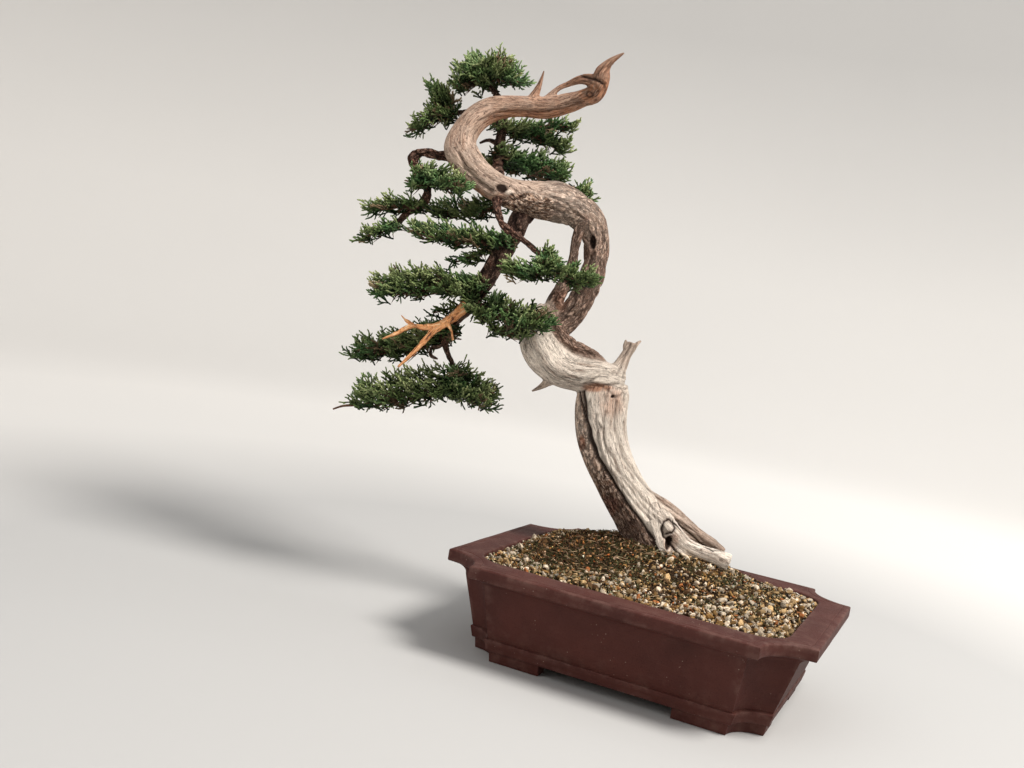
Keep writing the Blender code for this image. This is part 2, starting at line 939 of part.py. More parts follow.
def make_feet(collection):
    """Four corner feet that follow the notched corners of the body."""
    top = FOOT_HEIGHT + FOOT_SUNK
    outer = BODY_INSET - BAND_PROUD + FOOT_INSET
    inner = outer + FOOT_THICK
    feet = loft(
        "feet",
        [
            (outer_ring(outer + FOOT_TAPER, BODY_NOTCH), 0.0),
            (outer_ring(outer, BODY_NOTCH), FOOT_HEIGHT),
            (outer_ring(outer, BODY_NOTCH), top),
        ],
        collection,
    )
    core = loft(
        "feet_core",
        [(outer_ring(inner, BODY_NOTCH), -CUT_PAST), (outer_ring(inner, BODY_NOTCH), top + CUT_PAST)],
        collection,
    )
    cutters = [core]
    length = RIM_LENGTH - 2 * outer
    width = RIM_WIDTH - 2 * outer
    gap_x = length - 2 * FOOT_LENGTH
    gap_y = width - 2 * FOOT_LENGTH_SIDE
    for size_x, size_y in ((gap_x, 2 * width), (2 * length, gap_y)):
        bm = bmesh.new()
        bmesh.ops.create_cube(bm, size=1.0)
        bmesh.ops.scale(bm, vec=(size_x, size_y, 2 * (top + CUT_PAST)), verts=bm.verts)
        bmesh.ops.translate(bm, vec=POT_CENTRE, verts=bm.verts)
        cutters.append(link_mesh("feet_gap", bm, collection))
    return combine(feet, cutters, "DIFFERENCE")


def make_pot(parts, helpers):
    """The pot with its feet and drainage holes, one fired piece."""
    pot = loft("pot", pot_rings(), parts)
    pot = combine(pot, [make_feet(helpers)], "UNION")
    drains = []
    for side in (-1, 1):
        bm = bmesh.new()
        bmesh.ops.create_cone(
            bm,
            cap_ends=True,
            segments=DRAIN_SIDES,
            radius1=DRAIN_RADIUS,
            radius2=DRAIN_RADIUS,
            depth=2 * (FLOOR_TOP + CUT_PAST),
        )
        bmesh.ops.translate(bm, vec=POT_CENTRE + Vector((side * DRAIN_OFFSET, 0, 0)), verts=bm.verts)
        drains.append(link_mesh("drain", bm, helpers))
    return combine(pot, drains, "DIFFERENCE")


def box_mesh(size, place):
    """A bmesh box of this size round a place."""
    bm = bmesh.new()
    bmesh.ops.create_cube(bm, size=1.0)
    bmesh.ops.scale(bm, vec=size, verts=bm.verts)
    bmesh.ops.translate(bm, vec=place, verts=bm.verts)
    return bm


def make_drain_mesh(name, side, parts, helpers):
    """A square of drainage mesh that lies on the pot's floor over one hole."""
    place = POT_CENTRE + Vector((side * DRAIN_OFFSET, 0, FLOOR_TOP + GAP + MESH_THICK / 2))
    sheet = link_mesh(name, box_mesh((MESH_SIDE, MESH_SIDE, MESH_THICK), place), parts)
    holes = []
    for column in range(MESH_HOLES):
        for row in range(MESH_HOLES):
            shift = Vector((column - (MESH_HOLES - 1) / 2, row - (MESH_HOLES - 1) / 2, 0)) * MESH_PITCH
            size = (MESH_HOLE, MESH_HOLE, MESH_THICK + 2 * CUT_PAST)
            holes.append(link_mesh("hole", box_mesh(size, place + shift), helpers))
    return combine(sheet, holes, "DIFFERENCE")


def edge_distance(x, y):
    """How far a place on the soil lies from the pot's opening, from the pot's centre."""
    half_x = OPENING_LENGTH / 2 - OPENING_ROUND
    half_y = OPENING_WIDTH / 2 - OPENING_ROUND
    over_x = max(abs(x) - half_x, 0.0)
    over_y = max(abs(y) - half_y, 0.0)
    if over_x or over_y:
        return OPENING_ROUND - math.hypot(over_x, over_y)
    return OPENING_ROUND + min(half_x - abs(x), half_y - abs(y))


def soil_height(x, y):
    """The soil's mounded surface, at a place given from the pot's centre."""
    spread = MOUND_SPREAD_LEFT if x < MOUND_PLACE[0] else MOUND_SPREAD_RIGHT
    far = ((x - MOUND_PLACE[0]) / spread) ** 2 + ((y - MOUND_PLACE[1]) / MOUND_SPREAD_Y) ** 2
    edge = min(max(edge_distance(x, y) / SOIL_EDGE_FALL, 0.0), 1.0)
    mound = MOUND_HEIGHT * math.exp(-far) * (MOUND_AT_EDGE + (1 - MOUND_AT_EDGE) * edge)
    return POT_HEIGHT - SOIL_BELOW_RIM + mound


def make_soil(parts, helpers):
    """The soil: a mounded bed that fills the pot, with a relief of coarse grains over its surface."""
    chance = random.Random(SOIL_SEED)
    rings = [
        (inner_ring(0.0, GAP), FLOOR_TOP + GAP),
        (inner_ring(1.0, GAP), POT_HEIGHT - SMALL_EDGE),
        (inner_ring(1.0, GAP), POT_HEIGHT + SOIL_BLOCK_OVER_RIM),
    ]
    soil = loft("soil", rings, parts)
    bm = bmesh.new()
    bmesh.ops.create_grid(bm, x_segments=SOIL_CELLS[0], y_segments=SOIL_CELLS[1], size=0.5)
    for vertex in bm.verts:
        column = round((vertex.co.x + 0.5) * SOIL_CELLS[0])
        row = round((vertex.co.y + 0.5) * SOIL_CELLS[1])
        x = vertex.co.x * (OPENING_LENGTH + SOIL_GRID_EXTRA) + chance.uniform(-1, 1) * GRAIN_JITTER
        y = vertex.co.y * (OPENING_WIDTH + SOIL_GRID_EXTRA) + chance.uniform(-1, 1) * GRAIN_JITTER
        height = soil_height(x, y)
        if edge_distance(x, y) > GRAIN_FLAT_EDGE:
            band = GRAIN_HIGH if (column + row) % 2 else GRAIN_LOW
            height += GRAIN_HEIGHT * chance.uniform(*band)
        vertex.co = POT_CENTRE + Vector((x, y, height))
    sides = bmesh.ops.extrude_face_region(bm, geom=bm.faces[:])
    for item in sides["geom"]:
        if isinstance(item, bmesh.types.BMVert):
            item.co.z = POT_HEIGHT + SOIL_CUT_OVER_RIM
    above = link_mesh("air", bm, helpers)
    soil = combine(soil, [above], "DIFFERENCE")
    beds = []
    for side in (-1, 1):
        size = (MESH_SIDE + 2 * GAP, MESH_SIDE + 2 * GAP, 2 * (MESH_THICK + 2 * GAP))
        place = POT_CENTRE + Vector((side * DRAIN_OFFSET, 0, FLOOR_TOP))
        beds.append(link_mesh("bed", box_mesh(size, place), helpers))
    for limb, sides in ROOTED_LIMBS:
        beds.append(make_limb("hole", limb, sides, helpers, GAP))
    soil = combine(soil, beds, "DIFFERENCE")
    keep_largest(soil)
    return soil


class Rods:
    """Round rods that stand for what is already built, to keep new shoots clear of it."""

    def __init__(self):
        self.starts = np.zeros((0, 3))
        self.ends = np.zeros((0, 3))
        self.radii = np.zeros(0)

    def add(self, points, radii):
        """Adds a chain of rods through points, each with the larger radius of its two ends."""
        chain = np.array([tuple(point) for point in points])
        sizes = np.array(radii)
        self.starts = np.vstack([self.starts, chain[:-1]])
        self.ends = np.vstack([self.ends, chain[1:]])
        self.radii = np.concatenate([self.radii, np.maximum(sizes[:-1], sizes[1:])])

    def join(self, other):
        """Adds the rods of another set."""
        self.starts = np.vstack([self.starts, other.starts])
        self.ends = np.vstack([self.ends, other.ends])
        self.radii = np.concatenate([self.radii, other.radii])

    def nearest(self, start, end):
        """The least clear distance from a line to the surface of any rod."""
        if not len(self.radii):
            return 1.0
        best = 1.0
        along = self.ends - self.starts
        lengths = np.maximum((along**2).sum(axis=1), SHORTEST_SQUARED)
        for share in np.linspace(0.0, 1.0, ROD_SAMPLES):
            point = np.array(start.lerp(end, share))
            place = np.clip(((point - self.starts) * along).sum(axis=1) / lengths, 0, 1)
            gap = np.linalg.norm(self.starts + place[:, None] * along - point, axis=1) - self.radii
            best = min(best, gap.min())
        return best


def smooth_stations(stations):
    """Points and radii on a smooth curve through a limb's stations."""
    points = [seen(column, row, back) for column, row, back, _ in stations]
    radii = [radius for _, _, _, radius in stations]
    steps = 2 if radii[0] > THICK_LIMB else 1
    line = []
    sizes = []
    for i in range(len(points) - 1):
        before = points[max(i - 1, 0)]
        after = points[min(i + 2, len(points) - 1)]
        for step in range(steps):
            t = step / steps
            line.append(catmull(before, points[i], points[i + 1], after, t))
            sizes.append(radii[i] + (radii[i + 1] - radii[i]) * t)
    line.append(points[-1])
    sizes.append(radii[-1])
    return line, sizes


def catmull(a, b, c, d, t):
    """A point on the smooth curve from b to c."""
    return 0.5 * (
        2 * b + (c - a) * t + (2 * a - 5 * b + 4 * c - d) * t * t + (3 * b - a - 3 * c + d) * t * t * t
    )


def section_curve(sides, helpers):
    """A fluted cross-section of unit size."""
    data = bpy.data.curves.new("section", "CURVE")
    data.dimensions = "2D"
    spline = data.splines.new("POLY")
    spline.points.add(sides - 1)
    flutes = 1.0 if sides >= STRAND_SIDES else 0.0
    for i in range(sides):
        angle = math.tau * i / sides
        radius = 1 + flutes * (FLUTE_THREE * math.cos(3 * angle) + FLUTE_FIVE * math.cos(5 * angle + 1))
        spline.points[i].co = (radius * math.cos(angle), radius * math.sin(angle), 0, 1)
    spline.use_cyclic_u = True
    made = bpy.data.objects.new("section", data)
    helpers.objects.link(made)
    return made


def make_limb(name, stations, sides, collection, grow=0.0):
    """One limb as a mesh: a curve through its stations with a fluted section that turns along it."""
    line, sizes = smooth_stations(stations)
    section = section_curve(sides, collection)
    data = bpy.data.curves.new(name, "CURVE")
    data.dimensions = "3D"
    data.bevel_mode = "OBJECT"
    data.bevel_object = section
    data.use_fill_caps = True
    spline = data.splines.new("POLY")
    spline.points.add(len(line) - 1)
    for i, (place, size) in enumerate(zip(line, sizes)):
        spline.points[i].co = (*place, 1)
        spline.points[i].radius = size + grow
        spline.points[i].tilt = TWIST_PER_STATION * i
    curve = bpy.data.objects.new(name + "_curve", data)
    collection.objects.link(curve)
    bpy.context.view_layer.update()
    made = evaluated_copy(curve, name, collection)
    bpy.data.objects.remove(section, do_unlink=True)
    weld(made)
    return made


def make_wood(name, limbs, carrier_limbs, parts, helpers, rods):
    """One wooden piece: its limbs joined, cut clear of the piece that carries it."""
    pieces = [make_limb(name, stations, sides, helpers) for stations, sides in limbs]
    base = pieces[0]
    helpers.objects.unlink(base)
    parts.objects.link(base)
    base.name = name
    if len(pieces) > 1:
        base = combine(base, pieces[1:], "UNION")
    if carrier_limbs:
        cutters = [make_limb("cut", stations, sides, helpers, GAP) for stations, sides in carrier_limbs]
        base = combine(base, cutters, "DIFFERENCE")
    keep_largest(base)
    for stations, _ in limbs:
        rods.add(*smooth_stations(stations))
    return base


def fan_outline(length, chance):
    """The outline of a flat spray: a stem with pointed shoots on alternate sides and one at its end."""
    sides = []
    tips = []
    for sign, offset in ((1, 0.0), (-1, 0.5)):
        side = [(0.0, sign * STEM_HALF_WIDTH)]
        first = length - (SHOOT_PAIRS + 1 - offset) * SHOOT_BASE
        for pair in range(SHOOT_PAIRS):
            low = first + pair * SHOOT_BASE
            lean = chance.uniform(*SHOOT_LEAN)
            reach = chance.uniform(*SHOOT_LENGTH) * (1.0 - SHOOT_SHORTER * pair)
            tip = (low + reach * math.cos(lean), sign * (STEM_HALF_WIDTH + reach * math.sin(lean)))
            side.append((low, sign * STEM_HALF_WIDTH))
            side.append(tip)
            tips.append(tip)
        side.append((first + SHOOT_PAIRS * SHOOT_BASE, sign * STEM_HALF_WIDTH))
        sides.append(side)
    end = (length + SHOOT_BASE, 0.0)
    tips.append(end)
    return sides[0] + [end] + sides[1][::-1], tips


def make_fan(outline, placing, helpers):
    """A flat spray as a filled 2D outline with a thickness, made a mesh at its place."""
    data = bpy.data.curves.new("fan", "CURVE")
    data.dimensions = "2D"
    data.fill_mode = "BOTH"
    data.extrude = FAN_HALF_THICK
    spline = data.splines.new("POLY")
    spline.points.add(len(outline) - 1)
    for point, (x, y) in zip(spline.points, outline):
        point.co = (x, y, 0, 1)
    spline.use_cyclic_u = True
    curve = bpy.data.objects.new("fan_curve", data)
    curve.matrix_world = placing
    helpers.objects.link(curve)
    bpy.context.view_layer.update()
    made = evaluated_copy(curve, "fan", helpers)
    weld(made)
    return made


def spine_point(spine, share):
    """A point and direction on a chain of points, at a share of its length."""
    lengths = [(b - a).length for a, b in zip(spine, spine[1:])]
    left = share * sum(lengths)
    for i, length in enumerate(lengths):
        if left <= length or i == len(lengths) - 1:
            along = spine[i + 1] - spine[i]
            return spine[i] + along * min(left / length, 1.0), along.normalized()
        left -= length
    return spine[-1], (spine[-1] - spine[-2]).normalized()


def fan_place(spine, share, side, rise, reach, dome, chance):
    """Where a fan stands: its foot on the spine and a tip in the low dome over it."""
    foot, ahead = spine_point(spine, share)
    across = ahead.cross(UP).normalized()
    width = max(math.sqrt(1 - (PAD_CURVE * (share - 0.5)) ** 2), PAD_NARROWEST)
    top = dome * math.sqrt(1 - FAN_SIDE * side * side)
    tip = foot + (across * side * reach + UP * top * rise) * width * chance.uniform(*FAN_VARY)
    return foot, tip + ahead * chance.uniform(*FAN_AHEAD)


def make_spray(name, carrier_limbs, boughs, seed, parts, helpers, rods):
    """A leafy spray: slim spines with flat fans of shoots that stand on a low dome over them."""
    chance = random.Random(seed)
    own = Rods()
    own_fans = Rods()
    pieces = []
    for line, reach, dome, fans in boughs:
        radii = [SPINE_RADIUS] * (len(line) - 1) + [SPINE_TIP_RADIUS]
        stations = [(*point, radius) for point, radius in zip(line, radii)]
        spine, sizes = smooth_stations(stations)
        pieces.append(make_limb(name, stations, SPINE_SIDES, helpers))
        own.add(spine, sizes)
        for i in range(fans):
            share = FAN_FIRST_SHARE + (1 - FAN_FIRST_SHARE) * (i + 0.5) / fans
            side = math.cos(math.pi * ((i * SIDE_STEP) % 1.0))
            rise = FAN_RISE[0] + (FAN_RISE[1] - FAN_RISE[0]) * ((i * RISE_STEP + 0.5) % 1.0)
            for _ in range(FAN_TRIES):
                foot, tip = fan_place(spine, share, side, rise, reach, dome, chance)
                length = max((tip - foot).length, FAN_SHORTEST)
                outline, tips = fan_outline(length, chance)
                turn = (tip - foot).to_track_quat("X", "Z").to_matrix().to_4x4()
                roll = Matrix.Rotation(chance.uniform(0, math.pi), 4, "X")
                placing = Matrix.Translation(foot) @ turn @ roll
                places = [placing @ Vector((x, y, 0)) for x, y in tips]
                stems = [placing @ Vector((SHOOT_CLEAR_FROM * x, 0, 0)) for x, y in tips]
                gap = min(rods.nearest(stem, place) for stem, place in zip(stems, places))
                own_gap = min(own_fans.nearest(stem, place) for stem, place in zip(stems, places))
                if gap > FAN_HALF_THICK + FOLIAGE_GAP and own_gap > FAN_HALF_THICK:
                    pieces.append(make_fan(outline, placing, helpers))
                    for stem, place in zip(stems, places):
                        own_fans.add((stem, place), (FAN_HALF_THICK, FAN_HALF_THICK))
                    own_fans.add((foot, tip), (FAN_HALF_THICK, FAN_HALF_THICK))
                    break
                side = chance.uniform(-1, 1)
                rise = chance.uniform(*FAN_RISE)
    base = pieces[0]
    helpers.objects.unlink(base)
    parts.objects.link(base)
    base.name = name
    base = combine(base, pieces[1:], "UNION")
    cutters = [make_limb("cut", stations, sides, helpers, GAP) for stations, sides in carrier_limbs]
    base = combine(base, cutters, "DIFFERENCE")
    keep_largest(base)
    own.join(own_fans)
    return base, own


def main():
    """Builds every piece of the bonsai."""
    clear_scene()
    parts = new_collection("shimpaku_bonsai")
    helpers = new_collection("helpers", hidden=True)
    rods = Rods()
    limbs_of = {name: limbs for name, limbs, _, _ in WOOD}
    for name, limbs, carrier, material in WOOD:
        piece = make_wood(name, limbs, limbs_of.get(carrier), parts, helpers, rods)
        finish_piece(piece, material)
    soil = make_soil(parts, helpers)
    finish_piece(soil, "soil")
    soil.data.shade_flat()
    finish_piece(make_pot(parts, helpers), "pot")
    for name, side in (("drain_mesh_left", -1), ("drain_mesh_right", 1)):
        finish_piece(make_drain_mesh(name, side, parts, helpers), "drain_mesh")
    for seed, (name, carrier, boughs) in enumerate(SPRAYS):
        piece, own = make_spray(name, limbs_of[carrier], boughs, seed, parts, helpers, rods)
        rods.join(own)
        finish_piece(piece, "foliage")


main()
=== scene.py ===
"""The looks of a shimpaku juniper bonsai in its pot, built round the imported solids.

Wood: fine tubes through each limb's stations, joined by a voxel remesh, then carved along the flow of
the grain. Foliage: tufts of tapered cords over the same low domes as the solid sprays. Soil: a fine bed
with loose grains, moss and fibres. Pot: the same sections with finer corners and rounded edges.
Lengths are in metres. Columns and rows are places in the 1024 x 768 picture."""
import math

import bmesh
import bpy
import numpy as np
from mathutils import Matrix, Vector


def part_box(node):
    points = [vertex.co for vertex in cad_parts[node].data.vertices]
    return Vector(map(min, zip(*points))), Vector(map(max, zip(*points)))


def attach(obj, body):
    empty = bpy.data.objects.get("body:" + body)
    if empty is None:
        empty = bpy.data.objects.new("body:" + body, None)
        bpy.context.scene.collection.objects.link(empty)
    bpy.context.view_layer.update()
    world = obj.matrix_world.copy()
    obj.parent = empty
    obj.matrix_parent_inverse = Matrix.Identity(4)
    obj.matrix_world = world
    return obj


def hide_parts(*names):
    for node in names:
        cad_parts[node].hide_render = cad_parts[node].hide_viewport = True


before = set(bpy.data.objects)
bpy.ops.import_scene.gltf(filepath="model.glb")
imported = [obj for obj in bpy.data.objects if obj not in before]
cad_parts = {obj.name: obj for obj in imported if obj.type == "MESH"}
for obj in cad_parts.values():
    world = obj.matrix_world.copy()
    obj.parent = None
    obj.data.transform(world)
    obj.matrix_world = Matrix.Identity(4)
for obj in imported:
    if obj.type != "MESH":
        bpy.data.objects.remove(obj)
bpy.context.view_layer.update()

# The eye that the picture was taken from, against the pot
POT_LOW, POT_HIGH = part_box("pot")
POT_CENTRE = Vector(((POT_LOW.x + POT_HIGH.x) / 2, (POT_LOW.y + POT_HIGH.y) / 2, 0.0))
EYE = POT_CENTRE + Vector((0.2646, -1.0389, 0.3279))
FORWARD = Vector((-0.38643, 0.91857, -0.08307))
RIGHT = Vector((0.90255, 0.39516, 0.17103))
UP = Vector((-0.18993, 0.00888, 0.98176))
FOCAL_PIXELS = 1177.0
MIDDLE_COLUMN, MIDDLE_ROW = 512.0, 384.0
TREE_DEPTH = 1.132
TRUNK_COLUMN = 655.0
PLANE_TURN = 0.00018
LIMB_UNIT = 0.0001
LENS, SENSOR = 41.38, 36.0

# Lamps: name, places of the lamp and of what it lights as right, ahead and up from the tree's
# middle, then size, power and colour
TREE_MIDDLE = (-0.10, 0.0, 0.28)
LAMPS = (
    ("key", (1.15, -0.75, 1.75), (0.0, 0.0, 0.0), 0.9, 74.0, (1.0, 0.965, 0.925)),
    ("fill", (-1.7, -1.2, 0.9), (0.0, 0.0, 0.0), 1.8, 11.0, (0.98, 0.985, 1.0)),
    ("wall", (0.8, 0.7, 1.7), (1.3, 3.3, 0.1), 1.8, 15.0, (0.97, 0.985, 1.0)),
)
SKY, SKY_STRENGTH = (0.985, 0.985, 1.0, 1.0), 0.62

# The floor round the pot as radius and paleness, then the curve up to the wall and the wall's
# paleness at some heights. The paleness is painted shade: grey near the pot, paler farther out,
# and darker towards the top of the wall.
FLOOR_AT = -0.0003
FLOOR_RINGS = ((0.55, 0.12), (1.0, 0.55), (1.5, 0.78), (2.0, 0.80))
WALL_CURVE, WALL_TOP, WALL_TOP_PALE = 1.6, 3.2, 0.30
WALL_HEIGHTS, WALL_PALE = (0.0, 0.5, 1.4), (0.80, 0.75, 0.36)
STAGE_SIDES, CURVE_STEPS = 96, 12

# Pot, as in the solids
RIM_LENGTH, RIM_WIDTH, RIM_NOTCH = 0.330, 0.267, 0.039
POT_HEIGHT = 0.0866
RIM_EDGE = 0.0110
COVE_HEIGHT, COVE_REACH, COVE_NOTCH_LESS = 0.0100, 0.0150, 0.0040
BODY_INSET, BODY_NOTCH = 0.031, 0.026
BAND_HEIGHT, BAND_PROUD, BAND_SLOPE = 0.0110, 0.0020, 0.0020
LINE_INSET, LINE_HALF_WIDTH, LINE_DEPTH = 0.0060, 0.0007, 0.0006
OPENING_LENGTH, OPENING_WIDTH, OPENING_ROUND = 0.276, 0.202, 0.030
FLOOR_LENGTH, FLOOR_WIDTH, FLOOR_TOP = 0.250, 0.186, 0.0200
FOOT_HEIGHT, FOOT_INSET, FOOT_TAPER, FOOT_THICK = 0.0096, 0.002, 0.0015, 0.016
FOOT_LENGTH, FOOT_LENGTH_SIDE, FOOT_SUNK, FOOT_BEVEL = 0.074, 0.062, 0.003, 0.0008
DRAIN_RADIUS, DRAIN_OFFSET, DRAIN_SIDES = 0.011, 0.070, 40
CUT_PAST = 0.010
BASE_INSET, WALL_GAP = 0.012, 0.0004
ROUND_LIP, ROUND_BAND = 0.0016, 0.0012
NOTCH_STEPS, LONG_STEPS, SHORT_STEPS = 14, 26, 20
EDGE_STEPS, WALL_STEPS, COVE_STEPS = 4, 8, 8
POT_WAVER = 0.00022

# The rim's incised line, from outside in: shift in half widths, share of its depth, wear
LINE_ROWS = (
    (-1.6, 0.0, 0.3), (-1.0, 0.0, 0.8), (-0.35, 0.8, 0.0), (0.35, 0.8, 0.0), (1.0, 0.0, 0.8), (1.8, 0.0, 0.25),
)

# Soil: mounds are their place, then how far they spread each way
SOIL_BELOW_RIM = 0.0030
MOUND = (-0.025, 0.050, 0.095, 0.070)
MOUND_HEIGHT, MOUND_AT_EDGE = 0.0270, 0.15
DARK_MOUND = (-0.072, 0.0, 0.050, 0.062)
SOIL_EDGE_FALL = 0.020
BED_RINGS = 70
BED_GAP, BED_INSET = 0.0006, 0.0004
MOSS_BLADES, DRY_FIBRES = 7500, 720
FIBRE_RINGS = ((0.0, 0.6), (0.5, 1.0), (0.85, 0.8))

# Loose grains: piece, pitch, sizes, place of their share in GRAIN_KINDS, roundness and seed
GRAINS = (("soil_grit", 0.0030, (0.0011, 0.0021), 1, 1, 3), ("soil_stones", 0.0052, (0.0019, 0.0040), 2, 2, 4))

# Grain colours in linear light, each with its share among the fine and the coarse grains
GRAIN_KINDS = (
    ((0.82, 0.68, 0.51), 0.15, 0.42),
    ((0.62, 0.415, 0.205), 0.27, 0.27),
    ((0.34, 0.190, 0.065), 0.27, 0.14),
    ((0.46, 0.165, 0.055), 0.05, 0.05),
    ((0.130, 0.068, 0.030), 0.20, 0.07),
    ((0.030, 0.021, 0.015), 0.06, 0.03),
    ((0.50, 0.455, 0.38), 0.02, 0.04),
)

# Limbs: column, row, then distance behind the tree's plane and radius in tenths of a millimetre
LOWER_TRUNK = (
    (673, 606, 0, 230), (670, 585, 0, 285), (664, 560, 0, 310), (652, 537, 0, 262), (637, 511, 0, 228),
    (621, 485, 10, 218), (608, 458, 20, 222), (601, 431, 30, 236), (601, 406, 30, 246), (604, 391, 30, 238),
    (607, 380, 40, 195),
)
DEADWOOD = (
    (621, 384, 0, 115), (612, 380, -30, 150), (597, 376, -50, 172), (578, 372, -70, 172), (559, 366, -100, 178),
    (544, 353, -120, 182), (537, 337, -100, 165), (540, 322, -40, 138), (549, 311, 10, 112),
)
UPPER_TRUNK = (
    (546, 333, 20, 120), (562, 325, 60, 124), (577, 308, 80, 118), (588, 288, 100, 112), (595, 265, 110, 112),
    (596, 243, 110, 120), (589, 222, 90, 150), (573, 209, 50, 170), (556, 202, 0, 188), (536, 200, -40, 178),
    (515, 196, -80, 152), (496, 188, -110, 140), (479, 176, -130, 144), (466, 162, -140, 158),
    (460, 149, -130, 162), (464, 134, -100, 134), (477, 118, -60, 128), (496, 108, -20, 116),
    (520, 106, 30, 101), (546, 107, 60, 106), (568, 103, 60, 98), (583, 98, 30, 84), (595, 92, -10, 84),
    (600, 82, -40, 82), (602, 73, -60, 76), (606, 66, -70, 50), (611, 61, -80, 33), (617, 57, -90, 21),
    (624, 53, -100, 7),
)
INNER_STRAND = (
    (584, 218, 40, 66), (577, 236, -10, 48), (574, 256, -30, 45), (570, 274, -30, 55), (561, 290, -20, 68),
    (553, 305, 0, 80), (549, 320, 0, 86),
)
LIVE_STRIP = (
    (549, 312, -60, 62), (557, 328, -100, 60), (569, 342, -110, 58), (584, 351, -110, 54), (597, 358, -100, 46),
    (606, 366, -60, 32),
)
BROKEN_STUB = (
    (614, 378, 0, 105), (621, 366, 0, 72), (626, 356, 10, 54), (630, 349, 10, 50), (633, 343, 20, 38),
)
STUB_LEFT_PRONG = (
    (627, 354, 10, 34), (625, 346, 10, 19), (626, 340, 10, 8),
)
STUB_RIGHT_PRONG = (
    (632, 350, 20, 34), (637, 344, 30, 19), (641, 341, 40, 8),
)
LOWER_SPIKE = (
    (556, 374, -80, 90), (547, 382, -100, 46), (540, 387, -110, 24), (532, 391, -120, 7),
)
SHORT_ARM = (
    (538, 338, -80, 90), (524, 336, -110, 48), (513, 337, -130, 26),
)
TOP_SPIKE = (
    (530, 105, 30, 70), (536, 93, 30, 42), (540, 84, 30, 24), (544, 71, 20, 6),
)
TOP_STRAND = (
    (546, 101, 50, 46), (558, 89, 60, 26), (569, 84, 60, 30), (580, 80, 40, 44), (590, 80, 0, 58),
    (600, 84, -40, 60),
)
TOP_KNOT = (
    (582, 102, -20, 44), (594, 98, -50, 58), (601, 91, -70, 52), (605, 81, -80, 42),
)
FRONT_ROOT = (
    (652, 515, -100, 115), (659, 533, -170, 95), (664, 548, -230, 75), (668, 562, -270, 50),
)
UPPER_ROOT = (
    (644, 500, 20, 110), (660, 510, 30, 112), (678, 522, 40, 92), (696, 535, 50, 72), (711, 544, 60, 62),
    (723, 553, 60, 46),
)
SURFACE_ROOT = (
    (661, 519, -120, 100), (674, 533, -170, 76), (686, 545, -170, 66), (700, 552, -140, 66),
    (715, 557, -120, 72), (729, 563, -100, 86),
)
BACK_ROOT = (
    (657, 525, 100, 130), (648, 538, 240, 105), (640, 546, 380, 80), (632, 552, 500, 50),
)
MAIN_BRANCH = (
    (531, 200, -30, 110), (522, 216, -50, 102), (512, 236, -80, 98), (498, 260, -110, 94), (483, 283, -130, 84),
    (468, 303, -140, 70), (456, 319, -130, 46), (447, 334, -120, 33), (446, 348, -100, 28), (452, 364, -70, 24),
    (456, 378, -60, 19),
)
UNDER_TWIG = (
    (507, 246, -100, 46), (494, 246, -160, 28), (483, 248, -200, 22),
)
CURLED_TWIG = (
    (448, 337, -110, 28), (440, 346, -140, 20), (432, 348, -160, 18), (431, 355, -170, 16),
    (438, 359, -180, 10),
)
LEFT_BRANCH = (
    (461, 156, -130, 56), (441, 156, -160, 42), (425, 152, -180, 42), (413, 158, -190, 58),
    (418, 170, -190, 42), (426, 183, -190, 36), (427, 196, -200, 34), (419, 207, -220, 31),
    (408, 213, -250, 28), (399, 222, -280, 24), (393, 228, -300, 18),
)
REAR_BRANCH = (
    (497, 186, -80, 60), (499, 168, 180, 50), (499, 149, 310, 47), (502, 131, 360, 45), (503, 116, 350, 42),
    (499, 100, 310, 37), (492, 87, 270, 29), (487, 77, 230, 20),
)
REAR_LEFT_TWIG = (
    (502, 122, 360, 36), (484, 116, 410, 31), (463, 112, 410, 28), (446, 116, 370, 20),
)
REAR_SIDE_TWIG = (
    (500, 144, 320, 30), (489, 140, 360, 21), (480, 143, 390, 13),
)
FRONT_BRANCH = (
    (499, 192, -120, 54), (497, 212, -310, 42), (507, 229, -370, 40), (520, 238, -400, 36),
    (534, 249, -440, 31), (546, 261, -460, 22),
)
STRIPPED_BRANCH = (
    (472, 297, -140, 56), (458, 313, -220, 46), (443, 324, -280, 40), (433, 331, -300, 32),
    (422, 344, -320, 25), (411, 355, -340, 20), (398, 367, -360, 10),
)
STRIPPED_FORK = (
    (441, 325, -290, 34), (425, 327, -320, 27), (411, 326, -340, 24), (397, 333, -360, 18), (382, 339, -380, 9),
)
STRIPPED_TIP = (
    (416, 326, -340, 20), (407, 321, -350, 14), (401, 315, -360, 7),
)
STRIPPED_SPUR = (
    (446, 321, -270, 24), (451, 330, -340, 15), (453, 340, -370, 7),
)

